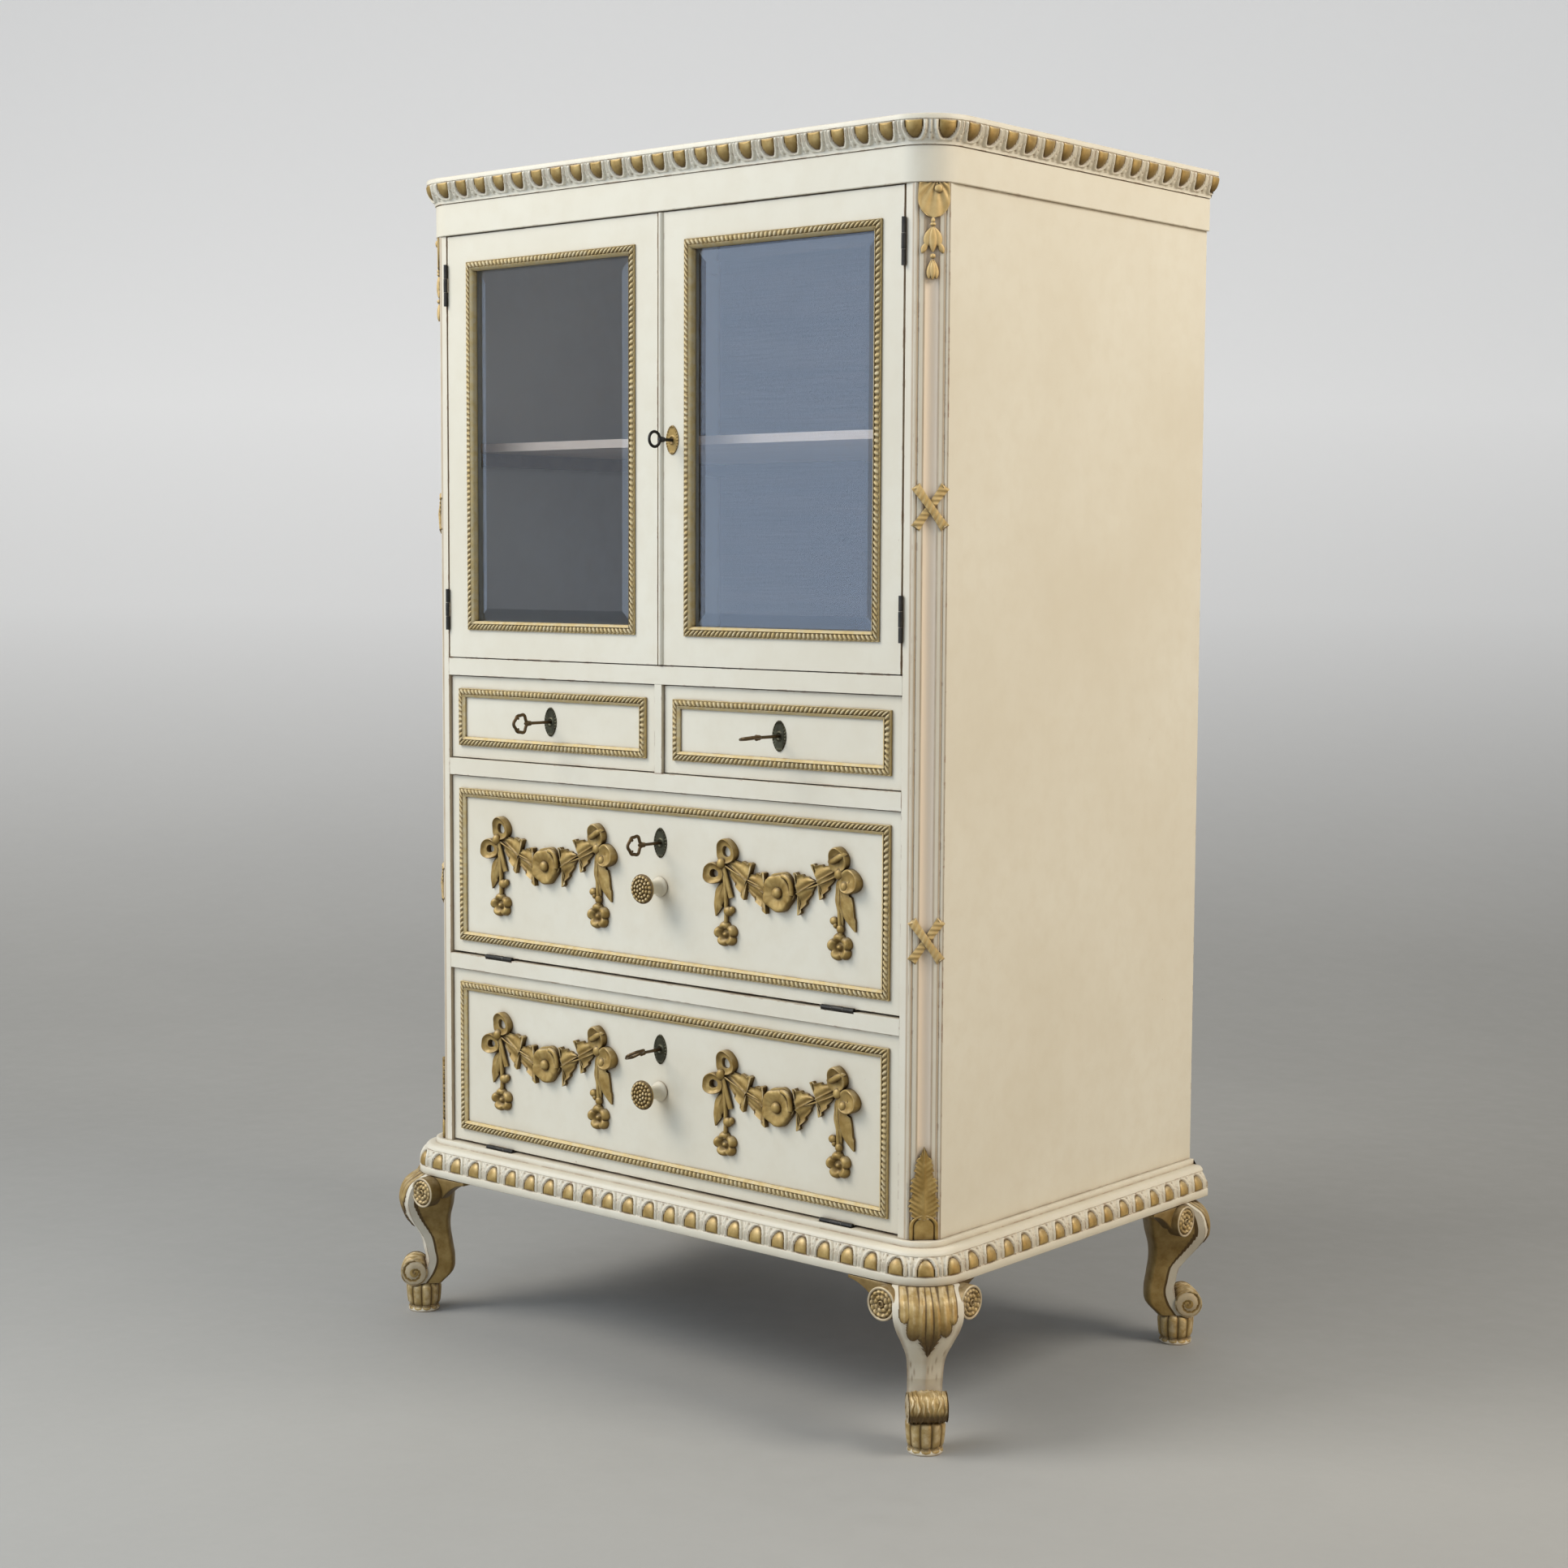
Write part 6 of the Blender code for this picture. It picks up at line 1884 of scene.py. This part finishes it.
@dataclass
class Knob:
    """Turned knob with a face of gilded pearls."""

    label: str
    place: Triple

    def build(self) -> Surface:
        """Turned stem, and a face where each ring of pearls is a row of half balls round the middle.

        Returns:
            The knob in the cabinet's frame.
        """
        turn = turns(120)[None, :]
        back = np.array([0.2, 1.2, 2.6, 4.0, 6, 9, 13, 18, 22, 25, 27.5, 29.5, 31, 32.2, 33.2])[:, None]
        stem = np.array([12.5, 12.8, 12.5, 10.6, 9.2, 8.5, 8.3, 8.4, 9.0, 10.4, 12.6, 15.4, 17.6, 18.8,
                         19.0])[:, None]
        r = column_of(18.6, 0.05, 62)
        face = 33.6 + 2.2 * np.sqrt(held(1 - (r / 19.5) ** 2))
        pearls = held(1 - (r / 2.7) ** 2) + 0 * turn
        for ring, count in ((5.4, 6), (10.3, 12), (15.3, 17)):
            offset = (saw(turn * count / TAU) - 0.5) * TAU * ring / count
            near = 1 - (offset / (0.49 * TAU * ring / count)) ** 2 - ((r - ring) / 2.45) ** 2
            pearls = np.maximum(pearls, held(near))
        height = face + 2.7 * np.sqrt(pearls)
        out = np.concatenate([back + 0 * turn, height])
        radius = np.concatenate([stem, r]) + 0 * turn
        # Painted highlight on the pearl tops, and painted shade in the gaps between them.
        gilt = np.concatenate([held((back - 31.5) / 1.0) + 0 * turn, 1 + held(2 * pearls - 1)])
        glaze_and_shade = np.concatenate([0 * back + 0 * turn, (1 - held(pearls * 3)) * 0.9])
        return Seat(self.place).laid(disc((0.0, 0.0), radius, out, gilt, glaze_and_shade))

    def dress(self) -> None:
        """Adds the knob in place of its node."""
        node = f"knob_{self.label}"
        add_piece(f"{node}_pearled", self.build(), PARCEL, f"flap_{self.label}", (node,), 50.0)


@dataclass
class Sleeve:
    """Iron skin on the moving knuckle of a hinge, with a rounded lip at each end."""

    name: str
    body: str
    middle: Triple
    along: Triple
    half: float
    radius: float

    def dress(self) -> None:
        """Adds the skin: rings about the hinge's axis whose radius falls off at the ends."""
        turn = turns(24)[None, :, None]
        share = np.array([-1.0, -0.99, -0.95, -0.5, 0.0, 0.5, 0.95, 0.99, 1.0])[:, None, None]
        fall = np.array([0.86, 0.96, 1.0, 1.0, 1.0, 1.0, 1.0, 0.96, 0.86])[:, None, None]
        axis = np.array(self.along)
        side = np.array((0.0, -1.0, 0.0))
        other = np.cross(axis, side)
        rings = self.radius * fall * (np.cos(turn) * side + np.sin(turn) * other)
        points = np.array(self.middle) + share * self.half * axis + rings
        add_piece(self.name, grid(points), IRON, self.body, (), 40.0)


@dataclass
class CadFinishes:
    """Finishes of the nodes that stay in view, by the start of their names."""

    finishes: dict[str, Finish] = field(default_factory=lambda: {
        "back_panel": STAINED, "base_board": STAINED, "flap_deck": STAINED, "drawer_deck": STAINED,
        "display_floor": STAINED, "shelf_cleat": STAINED, "shelf": ROSY, "drawer_box": PALE,
        "glass": GLASS, "bolt": IRON, "door_hinge": IRON, "flap_hinge": IRON,
        "key": KEY_BRASS, "garland": GILDING, "door_bead": GILDING, "post": FLUTED,
    })

    def finish(self, node: str) -> Finish:
        """The finish of a node: that of the longest name that it starts with, or else cream."""
        starts = [start for start in self.finishes if node.startswith(start)]
        return self.finishes[max(starts, key=len)] if starts else CREAM

    def dress(self) -> None:
        """Gives each node its finish."""
        for node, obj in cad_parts.items():
            made = self.finish(node).material()
            for slot in obj.material_slots:
                slot.material = made
            LOG.info("%s: %s", node, made.name)


@dataclass
class Studio:
    """Floor, lamps, surroundings and camera.

    The sweep starts in front of the cabinet, runs flat, bends up in a quarter circle and rises straight. Its
    glow is the heights between which it grows paler to the camera, and by how much. The eye's Y is from the
    front.
    """

    floor_colour: Triple = (0.37, 0.367, 0.345)
    wall_colour: Triple = (0.80, 0.80, 0.79)
    sky: Triple = (0.80, 0.81, 0.83)
    fill: float = 0.30
    start: float = 5.4
    flat: float = 6.8
    bend: float = 7.0
    rise: float = 1.0
    half_width: float = 9.0
    glow: Triple = (0.1, 1.6, 0.30)
    yaw: float = 40.472
    pitch: float = -4.917
    roll: float = 0.265
    focal: float = 59.03
    eye: Triple = (2.226, -2.363, 1.0414)

    def floor_paint(self) -> bpy.types.Material:
        """Clouded floor that goes over into the paler wall, which shines a little to the camera alone.

        Returns:
            The material.
        """
        made = bpy.data.materials.new("pale_floor")
        made.use_nodes = True
        made.node_tree.nodes.clear()
        nodes = Nodes(made.node_tree)
        clouds = nodes.ramp(nodes.noise(1.3, 5.0), 0.3, 0.7)
        darker = tuple(0.93 * part for part in self.floor_colour)
        ground = nodes.blend(clouds, self.floor_colour, darker)
        height = nodes.parts(nodes.place)[2]
        nodes.give("Base Color", nodes.blend(nodes.ramp(height, 0.0, 0.9), ground, self.wall_colour))
        nodes.give("Roughness", nodes.ramp(nodes.noise(22.0), 0.3, 0.7, 0.6, 0.8))
        seen = nodes.add("LightPath").outputs["Is Camera Ray"]
        low, high, most = self.glow
        nodes.fix(Emission_Color=(1.0, 1.0, 1.0, 1.0))
        pale = nodes.ramp(height, low, high, 0.0, most)
        nodes.give("Emission Strength", nodes.math("MULTIPLY", seen, pale))
        return made

    def floor(self) -> None:
        """Pale sweep: a flat floor that turns up behind the cabinet into a wall, square to the camera.

        A point runs flat for the floor's length, then round a quarter circle, and then straight up.
        """
        flat, radius, quarter = self.flat, self.bend, math.pi / 2
        run = np.concatenate([np.linspace(0, flat, 20), flat + radius * np.linspace(0.02, quarter, 40)])
        run = np.append(run, flat + radius * quarter + self.rise)[:, None]
        side = row_of(-self.half_width, self.half_width, 25)
        bend = np.clip((run - flat) / radius, 0, quarter)
        ahead = np.minimum(run, flat) + radius * np.sin(bend) - self.start
        z = radius * (1 - np.cos(bend)) + np.maximum(run - flat - radius * quarter, 0)
        cos, sin = heading(self.yaw)
        points = xyz(side * cos - ahead * sin, side * sin + ahead * cos, z)
        rows, columns = points.shape[:2]
        number = np.arange(rows * columns).reshape(rows, columns)
        faces = np.stack([number[:-1, :-1], number[:-1, 1:], number[1:, 1:], number[1:, :-1]], axis=-1)
        mesh = bpy.data.meshes.new("studio_floor")
        mesh.from_pydata(points.reshape(-1, 3), [], faces.reshape(-1, 4))
        mesh.shade_smooth()
        mesh.materials.append(self.floor_paint())
        floor = show(bpy.data.objects.new("studio_floor", mesh))

    def world(self) -> None:
        """Surroundings: pale to the camera, in gloss and through glass, and a plain fill elsewhere."""
        world = bpy.data.worlds.new("studio")
        world.use_nodes = True
        tree = world.node_tree
        tree.nodes.clear()
        path = tree.nodes.new("ShaderNodeLightPath")
        seen = path.outputs["Is Camera Ray"]
        for name in ("Is Glossy Ray", "Is Transmission Ray"):
            either = tree.nodes.new("ShaderNodeMath")
            either.operation = "MAXIMUM"
            tree.links.new(seen, either.inputs[0])
            tree.links.new(path.outputs[name], either.inputs[1])
            seen = either.outputs[0]
        shown, fill = (tree.nodes.new("ShaderNodeBackground") for _ in range(2))
        shown.inputs["Color"].default_value = (*self.sky, 1.0)
        fill.inputs["Color"].default_value = (0.94, 0.97, 1.0, 1.0)
        fill.inputs["Strength"].default_value = self.fill
        mix = tree.nodes.new("ShaderNodeMixShader")
        output = tree.nodes.new("ShaderNodeOutputWorld")
        tree.links.new(seen, mix.inputs[0])
        tree.links.new(fill.outputs[0], mix.inputs[1])
        tree.links.new(shown.outputs[0], mix.inputs[2])
        tree.links.new(mix.outputs[0], output.inputs["Surface"])
        bpy.context.scene.world = world

    @staticmethod
    def softbox(name: str, place: Floats, aim: Floats, size: Pair, power: float,
                colour: Triple) -> None:
        """One large rectangular lamp.

        Args:
            name: Name of the lamp.
            place: Where it stands.
            aim: Point that it faces.
            size: Width and height.
            power: Watts.
            colour: Its colour.
        """
        lamp = bpy.data.lights.new(name, "AREA")
        lamp.shape = "RECTANGLE"
        lamp.size, lamp.size_y = size
        lamp.energy = power
        lamp.color = colour
        obj = show(bpy.data.objects.new(name, lamp))
        obj.location = place
        obj.rotation_euler = (Vector(aim) - Vector(place)).to_track_quat("-Z", "Y").to_euler()

    def camera(self) -> None:
        """Camera at the photograph's place, turned right of the front and a little downwards."""
        yaw, pitch, roll = (math.radians(angle) for angle in (self.yaw, self.pitch, self.roll))
        ahead = Vector((-math.sin(yaw) * math.cos(pitch), math.cos(yaw) * math.cos(pitch), math.sin(pitch)))
        right = Vector((math.cos(yaw), math.sin(yaw), 0.0))
        up = right.cross(ahead)
        across = math.cos(roll) * right + math.sin(roll) * up
        upright = math.cos(roll) * up - math.sin(roll) * right
        lens = bpy.data.cameras.new("photograph")
        lens.sensor_width = 36.0
        lens.lens = self.focal
        eye = show(bpy.data.objects.new("photograph", lens))
        turned = Matrix((across, upright, -ahead)).transposed().to_4x4()
        x, y, z = self.eye
        eye.matrix_world = Matrix.Translation((x, FRONT_Y + y, z)) @ turned
        bpy.context.scene.camera = eye

    def dress(self) -> None:
        """Sets up the whole studio."""
        self.camera()
        self.floor()
        self.world()
        front = (-0.93, FRONT_Y - 2.5, 1.75)
        self.softbox("front_softbox", front, (-0.93, 0.0, 1.75), (2.85, 2.9), 50.0, (0.62, 0.78, 1.0))
        key = (-2.4, FRONT_Y - 2.9, 4.2)
        self.softbox("key_softbox", key, (0.0, FRONT_Y, 0.9), (2.6, 2.6), 183.0, (1.0, 0.95, 0.89))
        self.softbox("side_softbox", (2.6, 0.5, 3.0), (0.4, 0.0, 1.1), (1.4, 1.4), 60.0, (1.0, 0.96, 0.90))
        self.softbox("warm_side_fill", (3.4, 0.9, 0.9), (0.4, 0.0, 0.5), (2.0, 1.4), 22.0, (1.0, 0.74, 0.45))
        bpy.context.scene.view_settings.view_transform = "Standard"


@dataclass
class Fronts:
    """Doors, drawers and flaps: their frames, swags, knobs, plates, keys and hinge skins.

    Plates, keys and the beds of the pearls are in millimetres. A hinge or keyhole is given from the nearest
    end of its front, and the door's keyhole from the middle of the cabinet. A knuckle is its reach from the
    face, its half length and its radius. A swag is the place of its rose from the flap's middle and top.
    """

    recess: float = 0.005
    bead_inset: float = 0.0163
    side_gap: float = 0.0015
    hinge_gap: float = 0.003
    door_hinge: float = 0.064
    flap_hinge: float = 0.095
    door_knuckle: Triple = (0.0028, 0.00908, 0.0027)
    flap_knuckle: Triple = (0.0033, 0.00825, 0.0032)
    door_keyhole: float = 0.0248
    flap_keyhole: float = 0.0645
    drawer_edge: float = 0.0075
    swag: Pair = (0.2026, 0.110)
    knob_stand: float = 0.0003
    door_plate: Pair = (21.0, 36.0)
    plate: Pair = (22.0, 38.0)
    door_key: float = 44.0
    drawer_key: float = 70.0
    flap_key: float = 63.0
    drawer_turns: Pair = (0.0, 80.0)
    flap_turns: tuple[tuple[str, float], ...] = (("lower", 60.0), ("upper", 0.0))
    door_bed: float = 2.4
    laid_bed: float = 3.6
    laid_section: Section = (
        [(0.0, -0.3), (0.0, 3.4), (0.2, 3.9), (0.5, 4.1), (0.9, 3.9), (1.0, 3.6)],
        [(8.2, 3.6), (8.3, 5.0), (8.7, 5.3), (10.0, 4.2), (11.4, 3.1), (11.9, 2.8), (11.9, -0.3)],
    )
    door_section: Section = (
        [(8.3, 0.3), (0.0, 0.3), (0.0, 2.2), (0.2, 2.7), (0.5, 2.9), (0.9, 2.7), (1.0, 2.4)],
        [(8.2, 2.4), (8.3, 3.8), (8.7, 4.1), (10.0, 2.6), (12.0, 0.6), (12.0, -7.0), (8.3, -7.0)],
    )

    def dress(self) -> None:
        """Dresses every front."""
        self.doors()
        self.drawers()
        for label, turn in self.flap_turns:
            under = "base_moulding" if label == "lower" else "rail_lower"
            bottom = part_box(under)[1].z + self.hinge_gap
            self.flap(label, bottom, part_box(f"flap_panel_{label}")[1].z, turn)

    def doors(self) -> None:
        """Frames round the panes, lock plate and key of the right door, and hinge skins."""
        low, high = (corner.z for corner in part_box("door_frame_left"))
        out, half, radius = self.door_knuckle
        for side, sign in SIDES:
            body = f"door_{side}"
            corner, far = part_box(f"door_bead_{side}")
            box = (corner.x, corner.z, far.x, far.z)
            beads = (f"door_bead_{side}",)
            section, bed = self.door_section, self.door_bed
            BeadFrame(f"{body}_pearl_frame", body, box, FRONT_Y, section, bed, beads).dress()
            for label, level in (("lower", low + self.door_hinge), ("upper", high - self.door_hinge)):
                middle = (sign * (OPENING_HALF - self.side_gap), FRONT_Y - out, level)
                Sleeve(f"{body}_{label}_knuckle", body, middle, (0.0, 0.0, 1.0), half, radius).dress()
        keyhole = (self.door_keyhole, FRONT_Y, (low + high) / 2)
        Escutcheon("door_key_plate", "door_right", keyhole, self.door_plate, GILDING).dress()
        Key("door", keyhole, self.door_key, 0.0, Bow.RING, IRON).dress()

    def drawers(self) -> None:
        """Frame, key plate and key of each drawer."""
        low, high = (corner.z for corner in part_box("drawer_front_left"))
        face = FRONT_Y + self.recess
        for (side, sign), turn in zip(SIDES, self.drawer_turns):
            body = f"drawer_{side}"
            near, far = sorted((sign * self.drawer_edge, sign * (OPENING_HALF - self.side_gap)))
            by = self.bead_inset
            box = (near + by, low + by, far - by, high - by)
            BeadFrame(f"{body}_pearl_frame", body, box, face, self.laid_section, self.laid_bed).dress()
            keyhole = ((near + far) / 2, face, (low + high) / 2)
            Escutcheon(f"{body}_key_plate", body, keyhole, self.plate, BRONZE).dress()
            Key(body, keyhole, self.drawer_key, turn, Bow.TREFOIL, KEY_BRASS).dress()

    def flap(self, label: str, bottom: float, top: float, turn: float) -> None:
        """Frame, two swags, knob, key plate, key and hinge skins of a flap.

        Args:
            label: Which flap.
            bottom: Height of its lower edge.
            top: Height of its upper edge.
            turn: Degrees that its key is turned.
        """
        body = f"flap_{label}"
        face = FRONT_Y + self.recess
        half = OPENING_HALF - self.side_gap - self.bead_inset
        box = (-half, bottom + self.bead_inset, half, top - self.bead_inset)
        BeadFrame(f"{body}_pearl_frame", body, box, face, self.laid_section, self.laid_bed).dress()
        out, long, radius = self.flap_knuckle
        across, drop = self.swag
        for side, sign in SIDES:
            seat = Seat((sign * across, face, top - drop))
            Garland(f"garland_{label}_{side}", body, seat).dress()
            middle = (sign * (OPENING_HALF - self.flap_hinge), face - out, bottom - self.hinge_gap / 2)
            Sleeve(f"{body}_{side}_knuckle", body, middle, (1.0, 0.0, 0.0), long, radius).dress()
        Knob(label, (0.0, face - self.knob_stand, (bottom + top) / 2)).dress()
        keyhole = (0.0, face, top - self.flap_keyhole)
        Escutcheon(f"{body}_key_plate", body, keyhole, self.plate, BRONZE).dress()
        Key(body, keyhole, self.flap_key, turn, Bow.TREFOIL, KEY_BRASS).dress()


def mouldings() -> tuple[CarvedMoulding, CarvedMoulding]:
    """The cornice and the base moulding.

    Returns:
        Both mouldings.
    """
    cornice = CarvedMoulding(
        node="cornice",
        path=CasePath(0.046, 0.011),
        low=CORNICE_LOW,
        above=[(-0.018, 0.0), (-0.018, 0.0127), (-0.012, 0.0127), (-0.012, 0.033), (0.0159, 0.033),
               (0.0166, 0.0323), (0.0166, 0.0272)],
        below=[(0.0055, 0.0038), (0.0055, 0.0)],
        band=((0.0156, 0.0266), (0.0058, 0.0042)),
        swell=0.0022,
        head=EggHead.FLAT_TOP,
        first=-0.380,
        pitch=(0.03575, 0.0378),
        count=23,
    )
    base = CarvedMoulding(
        node="base_moulding",
        path=CasePath(0.031, 0.025),
        low=BASE_LOW,
        above=[(-0.022, 0.0), (-0.022, 0.0467), (-0.0058, 0.0467), (-0.0052, 0.0467), (0.0018, 0.0467),
               (0.0023, 0.0467), (0.0055, 0.0467), (0.0061, 0.0461), (0.0061, 0.0397), (0.0138, 0.0397),
               (0.0175, 0.0385), (0.0200, 0.0357), (0.0208, 0.0333)],
        below=[(0.0286, 0.0101), (0.0290, 0.0093), (0.0290, 0.0006), (0.0284, 0.0)],
        band=((0.0202, 0.0329), (0.0276, 0.0105)),
        swell=0.0026,
        head=EggHead.FLAT_FOOT,
        first=-0.389,
        pitch=(0.0362, 0.0361),
        count=23,
        seats=(0.295, 0.0256, 0.0021),
    )
    return cornice, base


def legs() -> list[Leg]:
    """The four legs, each on its own diagonal.

    The table gives each row's name, the Y of the base's edge, the way that the legs face, how far they are
    set in from the edges, and the further reach of their knees.

    Returns:
        The front legs and the rear legs.
    """
    half, corner = math.sqrt(0.5), CASE_HALF + BASE_PROUD
    rows = (
        ("front", FRONT_Y - BASE_PROUD, -1, 0.0205, 0.0),
        ("rear", FRONT_Y + CASE_DEPTH, 1, 0.0290, 10.0),
    )
    made = []
    for row, y, lead, by, knee in rows:
        edge = Leg.foot_reach * half + by / MM
        for side, sign in SIDES:
            place = (sign * (corner - by), y - lead * by)
            shy = sign if lead < 0 else 0
            made.append(Leg(f"leg_{row}_{side}", place, (sign * half, lead * half), edge, knee, shy))
    return made


def main() -> None:
    """Builds the studio and every piece."""
    logging.basicConfig(level=logging.INFO, format="%(message)s")
    Studio().dress()
    CadFinishes().dress()
    for moulding in mouldings():
        moulding.dress()
    Frieze().dress()
    for leg in legs():
        leg.dress()
    for side, sign in SIDES:
        PostOrnament(side, sign).dress()
    Fronts().dress()


if __name__ == "__main__":
    main()
